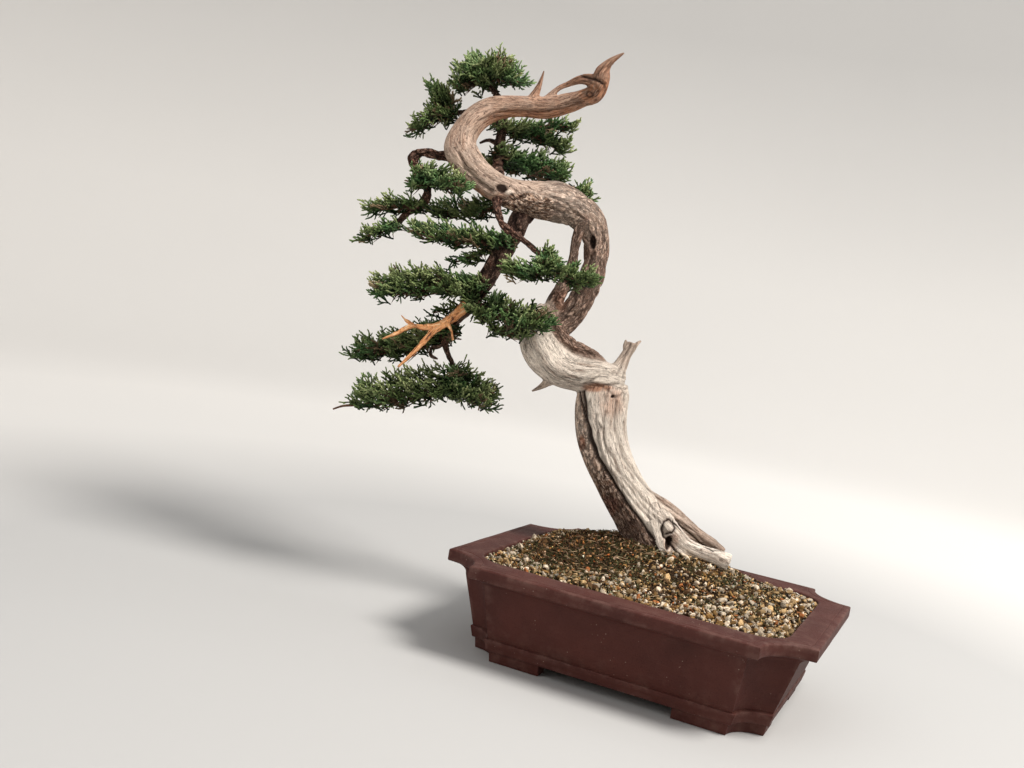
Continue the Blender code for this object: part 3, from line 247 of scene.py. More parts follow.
# Sprays and their boughs: reach to each side, height over the spine and number of fans, then the
# spine's places as column, row and distance behind the tree's plane, all lengths in millimetres
SPRAYS = (
    ("apex",
        (26, 28, 4, (490, 83, 26), (484, 80, 26), (470, 82, 26), (457, 86, 24)),
        (26, 26, 4, (484, 80, 26), (492, 74, 25), (504, 76, 24), (518, 82, 22))),
    ("upper_left",
        (22, 18, 4, (450, 115, 38), (443, 115, 36), (430, 120, 30), (414, 130, 24)),
        (22, 14, 4, (443, 115, 36), (444, 106, 34), (440, 97, 32), (432, 90, 30))),
    ("upper_right",
        (18, 15, 5, (502, 128, 36), (520, 132, 42), (545, 139, 46), (564, 148, 47)),
        (14, 10, 3, (520, 132, 42), (538, 128, 42), (556, 126, 40), (574, 127, 36))),
    ("inside_bend",
        (26, 23, 6, (499, 154, 28), (514, 166, 37), (540, 173, 42), (564, 178, 42)),
        (12, 10, 2, (514, 166, 37), (501, 166, 43), (488, 164, 46))),
    ("right",
        (13, 12, 3, (572, 206, 8), (578, 197, 27), (584, 192, 32), (588, 196, 31))),
    ("under_knob",
        (18, 17, 5, (419, 173, -19), (430, 178, -26), (446, 184, -36), (461, 188, -41)),
        (12, 10, 2, (430, 178, -26), (420, 182, -32), (412, 186, -34))),
    ("far_left_upper",
        (16, 14, 5, (420, 206, -22), (404, 206, -30), (386, 206, -36), (368, 210, -40))),
    ("far_left_lower",
        (15, 13, 4, (396, 225, -29), (385, 230, -34), (374, 233, -38), (363, 238, -40))),
    ("middle_left",
        (25, 18, 7, (509, 240, -8), (490, 243, -22), (465, 241, -31), (440, 237, -38), (418, 233, -42))),
    ("behind_left",
        (21, 18, 5, (502, 194, -6), (492, 209, 14), (472, 213, 22), (450, 212, 26), (434, 211, 27))),
    ("under_middle",
        (11, 6, 3, (485, 248, -19), (474, 256, -22), (463, 260, -25), (454, 262, -27))),
    ("left",
        (30, 28, 9, (480, 287, -13), (462, 290, -23), (438, 289, -30), (414, 290, -36), (394, 292, -40),
            (378, 293, -42))),
    ("front",
        (21, 17, 4, (543, 258, -45), (550, 268, -50), (572, 279, -56), (592, 283, -56)),
        (18, 14, 4, (550, 268, -50), (536, 272, -54), (520, 274, -56), (506, 271, -56)),
        (8, 6, 2, (550, 268, -50), (547, 256, -42), (549, 248, -38))),
    ("lower_front",
        (28, 25, 7, (474, 296, -13), (486, 312, -32), (506, 320, -46), (530, 324, -54), (546, 325, -57)),
        (18, 10, 3, (486, 312, -32), (490, 324, -38), (506, 332, -46), (526, 335, -50))),
    ("small_left",
        (9, 8, 2, (467, 304, -13), (455, 307, -4), (444, 310, 2), (433, 313, 4))),
    ("behind_stripped",
        (26, 26, 8, (449, 331, -12), (436, 341, -2), (414, 348, 6), (392, 352, 9), (371, 354, 10),
            (356, 355, 10))),
    ("lowest",
        (34, 34, 6, (455, 374, -6), (453, 388, -7), (430, 395, -9), (404, 399, -11), (380, 402, -13),
            (360, 404, -14)),
        (30, 30, 4, (453, 388, -7), (464, 394, -8), (478, 400, -10), (492, 404, -11)),
        (3, 2, 1, (362, 404, -14), (352, 405, -15), (342, 406, -16), (333, 409, -16))),
)

# How each limb is dressed. Each row: share of its length, bark, paleness, warmth
CREAM = ((0.0, 0.0, 0.82, 0.0), (0.35, 0.0, 0.95, 0.0), (1.0, 0.0, 1.0, 0.0))
SILVER = ((0.0, 0.0, 0.95, 0.0), (1.0, 0.0, 0.95, 0.0))
CURVED = (
    (0.00, 0.85, 0.48, 0.30), (0.20, 0.80, 0.62, 0.28), (0.28, 0.70, 0.85, 0.16), (0.34, 0.55, 0.70, 0.10),
    (0.375, 0.15, 0.28, 0.12), (0.41, 0.0, 0.24, 0.14), (0.52, 0.0, 0.36, 0.16), (0.62, 0.0, 0.27, 0.26),
    (0.74, 0.0, 0.12, 0.44), (0.90, 0.0, 0.08, 0.55), (0.955, 0.0, 0.20, 0.80), (0.985, 0.0, 0.12, 0.60),
    (1.0, 0.0, 0.12, 0.35),
)
FLAKY = ((0.0, 0.95, 0.30, 0.20), (0.5, 0.85, 0.42, 0.15), (1.0, 0.9, 0.35, 0.2))
VEIN = ((0.0, 0.9, 0.70, 0.55), (1.0, 0.8, 0.60, 0.50))
WEATHERED = ((0.0, 0.0, 0.8, 0.0), (0.5, 0.0, 0.50, 0.1), (1.0, 0.2, 0.30, 0.1))
REDDISH = ((0.0, 0.0, 0.4, 0.4), (0.4, 0.0, 0.2, 0.7), (1.0, 0.1, 0.1, 0.7))
KNOTTY = ((0.0, 0.0, 0.30, 0.8), (1.0, 0.0, 0.20, 1.0))
EARTHY = ((0.0, 0.1, 0.55, 0.1), (1.0, 0.3, 0.35, 0.2))
RED_BARKED = ((0.0, 1.0, 0.10, 0.35), (0.5, 1.0, 0.15, 0.80), (1.0, 1.0, 0.10, 0.60))
BARKED = ((0.0, 1.0, 0.05, 0.1), (1.0, 1.0, 0.10, 0.0))
BARE = ((0.0, 0.0, 0.0, 0.0), (1.0, 0.0, 0.0, 0.0))

# Each wooden piece: its name, node, slot and voxel size, the height of its lumps and how far apart
# they are, then its limbs with their dress
WOODS = (
    ("trunk_wood", "trunk", "trunk", 0.0013, None,
        (LOWER_TRUNK, CREAM), (DEADWOOD, SILVER), (UPPER_TRUNK, CURVED), (INNER_STRAND, FLAKY),
        (LIVE_STRIP, VEIN), (BROKEN_STUB, WEATHERED), (STUB_LEFT_PRONG, WEATHERED),
        (STUB_RIGHT_PRONG, WEATHERED), (LOWER_SPIKE, WEATHERED), (SHORT_ARM, SILVER), (TOP_SPIKE, REDDISH),
        (TOP_STRAND, REDDISH), (TOP_KNOT, KNOTTY), (FRONT_ROOT, CREAM), (UPPER_ROOT, EARTHY),
        (SURFACE_ROOT, CREAM), (BACK_ROOT, EARTHY)),
    ("main_branch_wood", "main_branch", "bark", 0.0009, (0.0010, 0.0070),
        (MAIN_BRANCH, BARKED), (UNDER_TWIG, BARKED), (CURLED_TWIG, BARKED)),
    ("left_branch_wood", "left_branch", "bark", 0.0007, (0.0015, 0.0056), (LEFT_BRANCH, RED_BARKED)),
    ("rear_branch_wood", "rear_branch", "bark", 0.0009, None,
        (REAR_BRANCH, BARKED), (REAR_LEFT_TWIG, BARKED), (REAR_SIDE_TWIG, BARKED)),
    ("front_branch_wood", "front_branch", "bark", 0.0007, (0.0009, 0.0060), (FRONT_BRANCH, RED_BARKED)),
    ("stripped_wood", "stripped_branch", "stripped", 0.0006, (0.0010, 0.0046),
        (STRIPPED_BRANCH, BARE), (STRIPPED_FORK, BARE), (STRIPPED_TIP, BARE), (STRIPPED_SPUR, BARE)),
)
FLUTE_THREE, FLUTE_FIVE = 0.05, 0.04
TWIST_PER_STATION = 0.07
LIMB_STEP = 0.0012
TUBE_SIDES, TIP_SIDES, BOUGH_SIDES = 30, 14, 6
THIN_TIP = 0.0030
JOIN_BLEND = 0.0018
CHUNK = 4096

# The relief of wood and bark: widths across and along the flow, then depths
FURROW_SIZE = 0.0034 * np.array([1.0, 1.0, 8.0])
SWELL_SIZE = np.array([0.013, 0.013, 0.035])
PLATE_SIZE = 0.0048 * np.array([1.0, 1.0, 2.6])
FLAKE_SIZE = np.array([0.0028, 0.0028, 0.008])
SWAY_LENGTH = 0.045
FURROW_RELIEF, CRACK_RELIEF, SWELL_RELIEF = 0.00040, 0.0005, 0.0009
PLATE_RELIEF, GAP_RELIEF, FLAKE_RELIEF, BARK_SWELL = 0.0010, 0.0013, 0.0010, 0.0016

# Places on the trunk as column, row: the left edge of the dead wood down the front of the lower
# trunk, and spots with their half sizes in pixels and the depth that they are sunk by
BARK_EDGE = (
    (580, 375), (584, 389), (589, 437), (598, 460), (617, 487), (632, 510), (646, 528), (655, 541), (661, 560),
)
BARK_TOP_ROW = 378
# The groove along the bark's edge is also darkened with painted shade
EDGE_GROOVE = 0.0026
# Holes are darkened with painted shade as well as sunk
HOLES = (
    (501.5, 188.8, 6.8, 6.2, 0.0020), (667.5, 544.0, 2.8, 6.5, 0.0024), (592, 243, 3.5, 8.0, 0.0030),
    (612.5, 397.0, 2.4, 2.0, 0.0012),
)
HOLE_LIP = 0.0006
KNOT_LENS, KNOT_LENS_HEIGHT = (509.5, 192.5, 5.5, 2.8), 0.0014
DARK_EDGE = (
    (488, 214), (499, 200), (512, 192), (530, 190), (546, 195), (562, 201), (574, 206), (586, 216), (600, 228),
)
LONG_FURROWS = (
    ((478, 121), (497, 113), (520, 111), (545, 112), (566, 108), (582, 103)),
    ((459, 152), (466, 168), (480, 182), (492, 192)),
    ((470, 148), (478, 166), (493, 180), (503, 183)),
    ((545, 194), (566, 203), (583, 219)),
    ((590, 232), (592, 252), (590, 272), (582, 290), (572, 306), (560, 320)),
    ((600, 425), (606, 447), (621, 472), (638, 492), (656, 512), (672, 524)),
    ((616, 400), (615, 430), (622, 455), (640, 480), (660, 500), (684, 517)),
    ((606, 412), (602, 440), (611, 463), (630, 488), (646, 509), (660, 523)),
    ((580, 75), (588, 78), (598, 80), (606, 84)),
    ((629, 344), (623, 359), (617, 374)),
    ((635, 346), (628, 363), (623, 378)),
    ((597, 415), (596, 440), (606, 466), (627, 493), (650, 520)),
    ((600, 376), (590, 382), (600, 386), (618, 384)),
    ((586, 384), (598, 384), (606, 388), (611, 393), (614, 398), (620, 396), (627, 389)),
    ((496, 197), (506, 200), (515, 200), (523, 195), (520, 188)),
    ((676, 520), (686, 526), (695, 532), (706, 543), (716, 550)),
    ((664, 534), (669, 541), (673, 549), (680, 555)),
    ((548, 300), (556, 282), (562, 262), (566, 244)),
    ((566, 104), (578, 102.5), (588, 101.5), (596, 97.5), (598.5, 90), (593.5, 83.5), (584, 81.5), (574, 83.5)),
    ((572, 99.5), (581, 99.5), (588, 99), (593.5, 95), (594, 89.5), (588, 86.5), (580, 87)),
    ((598, 106), (603, 99), (605.5, 91), (604, 84)),
    ((594, 78), (599, 71), (606, 66)),
    ((600, 81), (604, 74), (610, 67)),
)
DEEP_FURROWS = (
    ((580, 75.5), (586, 76.5), (593, 78.5), (602, 83)),
    ((664.5, 536), (661.5, 528), (663.5, 521.5), (669, 518.5), (674, 522), (675, 528), (671, 533), (666, 534)),
    ((662, 527), (664, 536), (669, 543), (675, 550), (684, 556)),
    ((674, 520), (681, 528), (690, 536), (700, 543), (712, 551)),
    ((580, 392), (584, 412), (590, 437), (598, 458), (615, 484), (631, 508)),
)

# Sets of furrows with their half width in pixels, depth, darkness painted as shade in the furrow, and waver
# across and down
FURROWS = (
    (LONG_FURROWS, 1.25, 0.0014, 0.55, 1.2, 0.0),
    (DEEP_FURROWS, 1.5, 0.0018, 1.0, 1.6, -0.8),
)

# Ovals whose outlines are grooves, and spots with more warmth, as column, row, half sizes, amount. An oval's
# amount is the painted shade laid in its groove.
OVALS = ((589.0, 94.0, 3.0, 2.4, 0.85), (589.0, 94.0, 6.2, 5.0, 0.40))
OVAL_DEPTH = 0.0010
WARM_SPOTS = (
    (498.0, 197.0, 12.0, 6.0, 0.45), (612.0, 402.0, 15.0, 18.0, 0.50), (581.0, 443.0, 4.5, 9.0, 1.00),
    (612.0, 505.0, 7.5, 9.0, 0.95), (560.0, 300.0, 9.0, 14.0, 0.80), (588.0, 262.0, 6.0, 22.0, 0.45),
    (671.0, 541.0, 8.0, 9.0, 0.45), (590.0, 92.0, 15.0, 13.0, 1.00), (600.0, 388.0, 18.0, 5.0, 0.85),
)

# Foliage: cords' rings are share of the length and of the radius
SHOOTS_PER_FAN, FAN_REACH = 16.5, 0.044
OPEN_SPRAYS = {
    "far_left_upper": 0.66, "far_left_lower": 0.66, "middle_left": 0.85, "left": 0.85, "lower_front": 0.85,
    "small_left": 0.75, "upper_left": 0.85, "under_middle": 0.80,
}
SHOOT_LENGTH = (0.013, 0.023)
STEM_RADIUS, FINGER_RADIUS, FORK_RADIUS, TWIG_RADIUS = 0.00085, 0.00088, 0.00086, 0.0006
FINGER_LENGTH, FINGER_PITCH = (0.0125, 0.0068), 0.0034
TWO_FORKS_FROM = 0.0052
DOME_GROWN = 1.06
BOUGH_RADIUS = (0.0017, 0.0008)
BROWN_CHANCE = 0.05
SCALE_LENGTH = 0.0011
CORD_SIDES = 3
FORK_RINGS = ((0.0, 0.85), (0.76, 0.95))
CORD_RINGS = (
    ((0.0, 1.0), (0.40, 1.0), (0.80, 0.85)), ((0.0, 0.85), (0.74, 1.0)), FORK_RINGS, ((0.0, 1.3), (0.6, 1.0))
)

# Wood colours in linear light
PALE_WOOD = (0.92, 0.815, 0.70)
BEIGE_WOOD = (0.475, 0.332, 0.247)
LIGHT_WOOD = (0.66, 0.525, 0.425)
BROWN_STREAK = (0.225, 0.135, 0.095)
# Dark streaks and specks, also the painted shade in the cracks of bare wood
DARK_STREAK_AND_SHADE = (0.060, 0.036, 0.027)
WARM_WOOD = (0.52, 0.225, 0.110)
RUST_WOOD = (0.235, 0.090, 0.052)
# Black of the gaps between bark plates, also the painted shade on bark
BARK_BLACK_AND_SHADE = (0.026, 0.014, 0.011)
# Near black painted shade in the deepest cracks, furrows and holes
CRACK_SHADE_BLACK = (0.018, 0.0085, 0.0065)


def seen(column, row, back):
    """The point at this place of the picture, `back` behind the tree's plane."""
    turned = PLANE_TURN * (TRUNK_COLUMN - column)
    across = (column - MIDDLE_COLUMN) / FOCAL_PIXELS
    down = (row - MIDDLE_ROW) / FOCAL_PIXELS
    return EYE + (TREE_DEPTH + turned + back) * (FORWARD + across * RIGHT - down * UP)


def projected(points):
    """The columns and rows at which points show in the picture."""
    ray = points - np.array(EYE)
    depth = ray @ np.array(FORWARD)
    columns = MIDDLE_COLUMN + FOCAL_PIXELS * (ray @ np.array(RIGHT)) / depth
    return columns, MIDDLE_ROW - FOCAL_PIXELS * (ray @ np.array(UP)) / depth


def smooth_step(low, high, value):
    """0 below low, 1 above high and a smooth rise between them."""
    share = np.clip((value - low) / (high - low), 0.0, 1.0)
    return share * share * (3.0 - 2.0 * share)


def cell_noise(cells, seed):
    """A repeatable number from 0 to 1 for each whole-number place."""
    grid = cells.astype(np.int64).astype(np.uint32)
    mixed = np.uint32((seed * 0x27D4EB2F) & 0xFFFFFFFF)
    for axis, factor in enumerate((0x9E3779B1, 0x85EBCA77, 0xC2B2AE3D)):
        mixed = mixed ^ (grid[:, axis] * np.uint32(factor))
    for shift, factor in ((15, 0x2C1B3C6D), (12, 0x297A2D39), (15, 1)):
        mixed ^= mixed >> np.uint32(shift)
        mixed *= np.uint32(factor)
    return mixed.astype(np.float64) / 4294967296.0


def soft_noise(points, seed):
    """Smooth noise from -1 to 1 at each point."""
    low = np.floor(points)
    part = points - low
    part = part * part * (3.0 - 2.0 * part)
    total = np.zeros(len(points))
    for corner in np.ndindex(2, 2, 2):
        corner = np.array(corner[::-1], float)
        weight = np.prod(np.where(corner > 0, part, 1.0 - part), axis=1)
        total += weight * cell_noise(low + corner, seed)
    return 2.0 * total - 1.0


def rough_noise(points, seed, octaves=3):
    """Smooth noise with finer layers, from about -1 to 1."""
    layers = sum(soft_noise(points * 2.0**octave, seed + octave) * 0.5**octave for octave in range(octaves))
    return layers / (2.0 - 2.0 * 0.5**octaves)


def flat_noise(x, y, size, seed, octaves):
    """Rough noise over the soil, from places on it."""
    return rough_noise(columns_of(x, y, 0.0) / size, seed, octaves)


def columns_of(*parts):
    """Numbers and rows of numbers side by side, one column for each."""
    return np.column_stack(np.broadcast_arrays(*parts))


def around(count):
    """The numbers of a ring's points, and for each one the number of the next."""
    numbers = np.arange(count)
    return numbers, (numbers + 1) % count


def circle(count):
    """The cosines and sines of equal turns."""
    angles = np.arange(count) * 2 * math.pi / count
    return np.cos(angles), np.sin(angles)


def ring_faces(rings, count):
    """Four-sided faces between rings of points that follow each other."""
    j, k = around(count)
    low = np.arange(rings - 1)[:, None] * count
    return np.stack([low + j, low + k, low + count + k, low + count + j], axis=2).reshape(-1, 4)


def closed_faces(rings, count):
    """The faces between rings, closed with a fan at the first and the last ring.

    The two middle points follow the rings, the first ring's before the last one's."""
    j, k = around(count)
    last, foot = (rings - 1) * count, rings * count
    fans = [columns_of(foot, k, j), columns_of(foot + 1, last + j, last + k)]
    return ring_faces(rings, count), np.stack(fans, axis=1).reshape(-1, 3)


def add_object(name, data):
    made = bpy.data.objects.new(name, data)
    bpy.context.scene.collection.objects.link(made)
    return made


def array_mesh(name, points, quads, triangles):
    """An object from arrays of points, four-sided faces and triangles."""
    mesh = bpy.data.meshes.new(name)
    mesh.vertices.add(len(points))
    mesh.vertices.foreach_set("co", np.ascontiguousarray(points, np.float32).ravel())
    loops = np.concatenate([np.asarray(faces, np.int32).ravel() for faces in (quads, triangles)])
    mesh.loops.add(len(loops))
    mesh.loops.foreach_set("vertex_index", loops)
    sizes = np.concatenate([np.full(len(quads), 4), np.full(len(triangles), 3)])
    mesh.polygons.add(len(sizes))
    mesh.polygons.foreach_set("loop_start", (np.cumsum(sizes) - sizes).astype(np.int32))
    mesh.update(calc_edges=True)
    return add_object(name, mesh)


def store(item, name, values):
    """Writes one number, vector or colour for each vertex as a named attribute."""
    values = np.asarray(values, np.float32)
    width = 1 if values.ndim == 1 else values.shape[1]
    kind, key = {1: ("FLOAT", "value"), 3: ("FLOAT_VECTOR", "vector"), 4: ("FLOAT_COLOR", "color")}[width]
    item.data.attributes.new(name, kind, "POINT").data.foreach_set(key, values.ravel())


def read(items, key, width=1):
    """One whole number, or a row of numbers, for each of a mesh's items."""
    values = np.zeros(len(items) * width, np.int32 if width == 1 else np.float32)
    items.foreach_get(key, values)
    return values if width == 1 else values.reshape(-1, width).astype(float)


def mesh_points(item):
    """A mesh's vertices and their normals as arrays."""
    return read(item.data.vertices, "co", 3), read(item.data.vertex_normals, "vector", 3)


def move_points(item, points):
    item.data.vertices.foreach_set("co", points.astype(np.float32).ravel())
    item.data.update()


def mesh_arrays(mesh):
    """A mesh's points, quads and triangles."""
    sizes, starts = read(mesh.polygons, "loop_total"), read(mesh.polygons, "loop_start")
    corners = read(mesh.loops, "vertex_index")
    faces = [corners[starts[sizes == count][:, None] + np.arange(count)] for count in (4, 3)]
    return read(mesh.vertices, "co", 3), *faces


def merge(parts):
    """Joins several sets of points, quads and triangles."""
    shifts = np.cumsum([0] + [len(points) for points, _, _ in parts])
    faces = [np.vstack([part[kind] + shift for part, shift in zip(parts, shifts)]) for kind in (1, 2)]
    return np.vstack([points for points, _, _ in parts]), *faces


def evaluated(source, name):
    """A plain object of what the source shows with its modifiers, in place of the source."""
    bpy.context.view_layer.update()
    graph = bpy.context.evaluated_depsgraph_get()
    made = add_object(name, bpy.data.meshes.new_from_object(source.evaluated_get(graph)))
    bpy.data.objects.remove(source, do_unlink=True)
    return made


def set_modifier(item, kind, **settings):
    modifier = item.modifiers.new(kind.lower(), kind)
    for key, value in settings.items():
        setattr(modifier, key, value)


def place_piece(item, node):
    """Makes an object a piece of the dressed part, which stands for one solid node."""
    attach(item, "root")
    if node:
        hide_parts(node)


class Graph:
    """A short way to write a material's nodes."""

    def __init__(self, name):
        self.material = bpy.data.materials.new(name)
        self.material.use_nodes = True
        self.nodes = self.material.node_tree.nodes
        self.shader = self.nodes["Principled BSDF"]

    def put(self, socket, value):
        """Links a socket to another one, or gives it a number, vector or colour."""
        if isinstance(value, bpy.types.NodeSocket):
            self.material.node_tree.links.new(value, socket)
        elif isinstance(value, tuple) and socket.type == "RGBA":
            socket.default_value = (*value, 1.0)
        else:
            socket.default_value = value

    def add(self, kind, inputs, output=0, **settings):
        """Adds a node with these inputs and settings. Gives one of its outputs."""
        node = self.nodes.new("ShaderNode" + kind)
        for key, value in settings.items():
            setattr(node, key, value)
        for key, value in inputs.items():
            self.put(node.inputs[key], value)
        return node.outputs[output]

    def attribute(self, name, output="Fac"):
        return self.add("Attribute", {}, output, attribute_name=name)

    def place(self):
        """Places on the object itself, in metres."""
        return self.add("TexCoord", {}, "Object")

    def noise(self, vector, scale=1.0, detail=3.0, rough=0.55, distort=0.0):
        inputs = {"Vector": vector, "Scale": scale, "Detail": detail, "Roughness": rough, "Distortion": distort}
        return self.add("TexNoise", inputs, "Fac")

    def grain(self, vector, across, along, detail=3.0, rough=0.6, distort=0.0):
        """Noise whose last direction has a scale of its own."""
        stretched = self.add("Mapping", {"Vector": vector, "Scale": (across, across, along)}, "Vector")
        return self.noise(stretched, 1.0, detail, rough, distort)

    def cells(self, vector, scale=1.0):
        return self.add("TexVoronoi", {"Vector": vector, "Scale": scale}, "Distance")

    def ramp(self, value, *stops):
        """A colour or share from a value: stops are place and colour."""
        node = self.nodes.new("ShaderNodeValToRGB")
        self.put(node.inputs["Fac"], value)
        elements = node.color_ramp.elements
        while len(elements) < len(stops):
            elements.new(0.5)
        for element, (place, colour) in zip(elements, stops):
            element.position = place
            element.color = (*(colour if isinstance(colour, tuple) else (colour,) * 3), 1.0)
        return node.outputs["Color"]

    def mix(self, share, a, b):
        return self.add("Mix", {0: share, 6: a, 7: b}, 2, data_type="RGBA")

    def wash(self, base, *tints):
        """Lays tints over the base. Each has its colour, a value and the stops that turn it to a share."""
        for tint, value, *stops in tints:
            base = self.mix(self.ramp(value, *stops), base, tint)
        return base

    def maths(self, operation, a, b, clamp=False):
        return self.add("Math", {0: a, 1: b}, operation=operation, use_clamp=clamp)

    def times(self, a, b, clamp=False):
        return self.maths("MULTIPLY", a, b, clamp)

    def sum(self, a, b, share):
        """One value and a share of another, which may be below zero."""
        return self.maths("ADD", a, self.times(b, share))

    def bump(self, height, distance, strength=1.0, normal=None):
        inputs = {"Distance": distance, "Strength": strength, "Height": height}
        if normal is not None:
            inputs["Normal"] = normal
        return self.add("Bump", inputs, "Normal")

    def finish(self, colour, roughness, normal, specular):
        inputs = {"Base Color": colour, "Roughness": roughness, "Metallic": 0.0, "Specular IOR Level": specular}
        if normal is not None:
            inputs["Normal"] = normal
        for key, value in inputs.items():
            self.put(self.shader.inputs[key], value)
        return self.material


def wood_material():
    """Weathered wood and bark, with cracks and streaks along the flow of the grain, and painted shade that
    darkens cracks, furrows, holes and bark gaps.
    """
    g = Graph("weathered_wood")
    flow = g.attribute("flow", "Vector")
    broad = g.grain(flow, 150.0, 22.0, 4.0, 0.62, 0.6)
    lines = g.grain(flow, 380.0, 40.0, 3.0, 0.60, 1.1)
    hairs = g.grain(flow, 780.0, 90.0, 3.0, 0.62, 1.2)
    streak = g.grain(flow, 500.0, 55.0, 4.0, 0.68, 0.8)
    fine = g.grain(flow, 1250.0, 120.0, 3.0, 0.65, 0.6)
    plate = g.grain(flow, 210.0, 85.0, 5.0, 0.65, 1.1)
    flake = g.grain(flow, 560.0, 240.0, 4.0, 0.68, 0.7)
    mottle = g.noise(g.place(), 75.0, 4.0, 0.65)
    speck = g.noise(g.place(), 1300.0, 2.0, 0.6)
    pale, barked, painted_shade = g.attribute("pale"), g.attribute("bark"), g.attribute("painted_shade")
    warm = g.times(g.attribute("warm"), g.ramp(mottle, (0.30, 0.55), (0.55, 1.0)), True)

    # Bare wood: pale or brown, with streaks, then warmer places and the cracks
    brown = g.ramp(broad, (0.30, BROWN_STREAK), (0.45, BEIGE_WOOD), (0.70, BEIGE_WOOD))
    dead = g.mix(pale, brown, g.ramp(broad, (0.28, BEIGE_WOOD), (0.45, PALE_WOOD), (0.8, PALE_WOOD)))
    dead = g.wash(
        dead,
        ((0.40, 0.265, 0.185), mottle, (0.52, 0.0), (0.70, 0.28)),
        (BROWN_STREAK, streak, (0.31, 0.70), (0.42, 0.0)),
        (BROWN_STREAK, fine, (0.34, 0.55), (0.43, 0.0)),
        (g.mix(pale, LIGHT_WOOD, PALE_WOOD), fine, (0.54, 0.0), (0.68, 0.50)),
    )
    dead = g.mix(warm, dead, g.ramp(streak, (0.38, RUST_WOOD), (0.52, WARM_WOOD), (0.72, BEIGE_WOOD)))
    splits = []
    for value, most, where, thick, thin in (
        (lines, 1.0, streak, (0.44, 1.0), (0.60, 0.10)),
        (hairs, 0.90, broad, (0.36, 1.0), (0.60, 0.15)),
    ):
        crack = g.ramp(value, (0.480, 0.0), (0.495, most), (0.505, most), (0.520, 0.0))
        splits.append(g.times(crack, g.ramp(where, thick, thin)))
    split = g.maths("MAXIMUM", *splits)
    dead = g.mix(g.times(split, g.ramp(pale, (0.3, 1.0), (1.0, 0.78))), dead, DARK_STREAK_AND_SHADE)

    # Bark: dark, pale or red flakes on plates, with black gaps between the plates
    dark_bark = g.ramp(
        flake, (0.38, (0.008, 0.005, 0.004)), (0.50, (0.046, 0.023, 0.018)), (0.63, (0.290, 0.170, 0.128))
    )
    pale_bark = g.ramp(
        flake, (0.38, (0.080, 0.038, 0.025)), (0.475, (0.480, 0.298, 0.200)), (0.59, (0.950, 0.740, 0.590))
    )
    red_bark = g.ramp(
        flake, (0.38, (0.035, 0.013, 0.009)), (0.50, (0.185, 0.078, 0.053)), (0.63, (0.500, 0.285, 0.205))
    )
    bark = g.mix(pale, dark_bark, pale_bark)
    bark = g.wash(bark, ((0.180, 0.075, 0.050), mottle, (0.52, 0.0), (0.66, 0.50)))
    bark = g.mix(warm, bark, red_bark)
    gaps = g.ramp(plate, (0.445, 0.0), (0.487, 1.0), (0.513, 1.0), (0.560, 0.0))
    bark = g.mix(g.times(gaps, 0.85), bark, BARK_BLACK_AND_SHADE)
    bark = g.mix(g.times(g.attribute("lifted"), 0.30), bark, (0.360, 0.240, 0.180))

    colour = g.mix(barked, dead, bark)
    # Painted shade: the deep attribute darkens cracks, furrows, holes and bark gaps, and the deepest go near
    # black
    colour = g.mix(g.times(painted_shade, 0.88, True), colour, g.mix(barked, DARK_STREAK_AND_SHADE, BARK_BLACK_AND_SHADE))
    colour = g.wash(
        colour, (CRACK_SHADE_BLACK, painted_shade, (0.55, 0.0), (0.95, 0.85)), (DARK_STREAK_AND_SHADE, speck, (0.60, 0.0), (0.72, 0.40))
    )
    smooth = g.sum(g.sum(g.times(streak, 0.9), fine, 0.5), split, -0.5)
    rough = g.sum(g.times(flake, 1.6), gaps, -0.7)
    normal = g.bump(g.mix(barked, smooth, rough), 0.0019)
    normal = g.bump(speck, 0.0002, 0.5, normal)
    return g.finish(colour, g.ramp(streak, (0.3, 0.95), (0.7, 0.76)), normal, 0.12)


def stripped_material():
    """Freshly stripped wood: orange with brown patches of bark left on it, and painted shade darkening its
    cracks.
    """
    g = Graph("stripped_wood_fresh")
    flow = g.attribute("flow", "Vector")
    broad = g.grain(flow, 260.0, 80.0, 4.0, 0.65, 0.8)
    fine = g.grain(flow, 900.0, 90.0)
    colour = g.ramp(
        broad, (0.38, (0.085, 0.030, 0.018)), (0.44, (0.56, 0.225, 0.090)), (0.54, (0.95, 0.455, 0.190)),
        (0.66, (0.98, 0.670, 0.400)),
    )
    colour = g.wash(
        colour,
        ((0.30, 0.115, 0.055), fine, (0.34, 0.55), (0.43, 0.0)),
        ((0.92, 0.68, 0.45), fine, (0.56, 0.0), (0.70, 0.50)),
    )
    # Painted shade: cracks darkened to dark brown
    colour = g.mix(g.times(g.attribute("painted_shade"), 0.55, True), colour, (0.14, 0.052, 0.030))
    return g.finish(
        colour, g.ramp(fine, (0.3, 0.80), (0.7, 0.6)), g.bump(g.sum(broad, fine, 0.6), 0.0010, 0.9), 0.2
    )


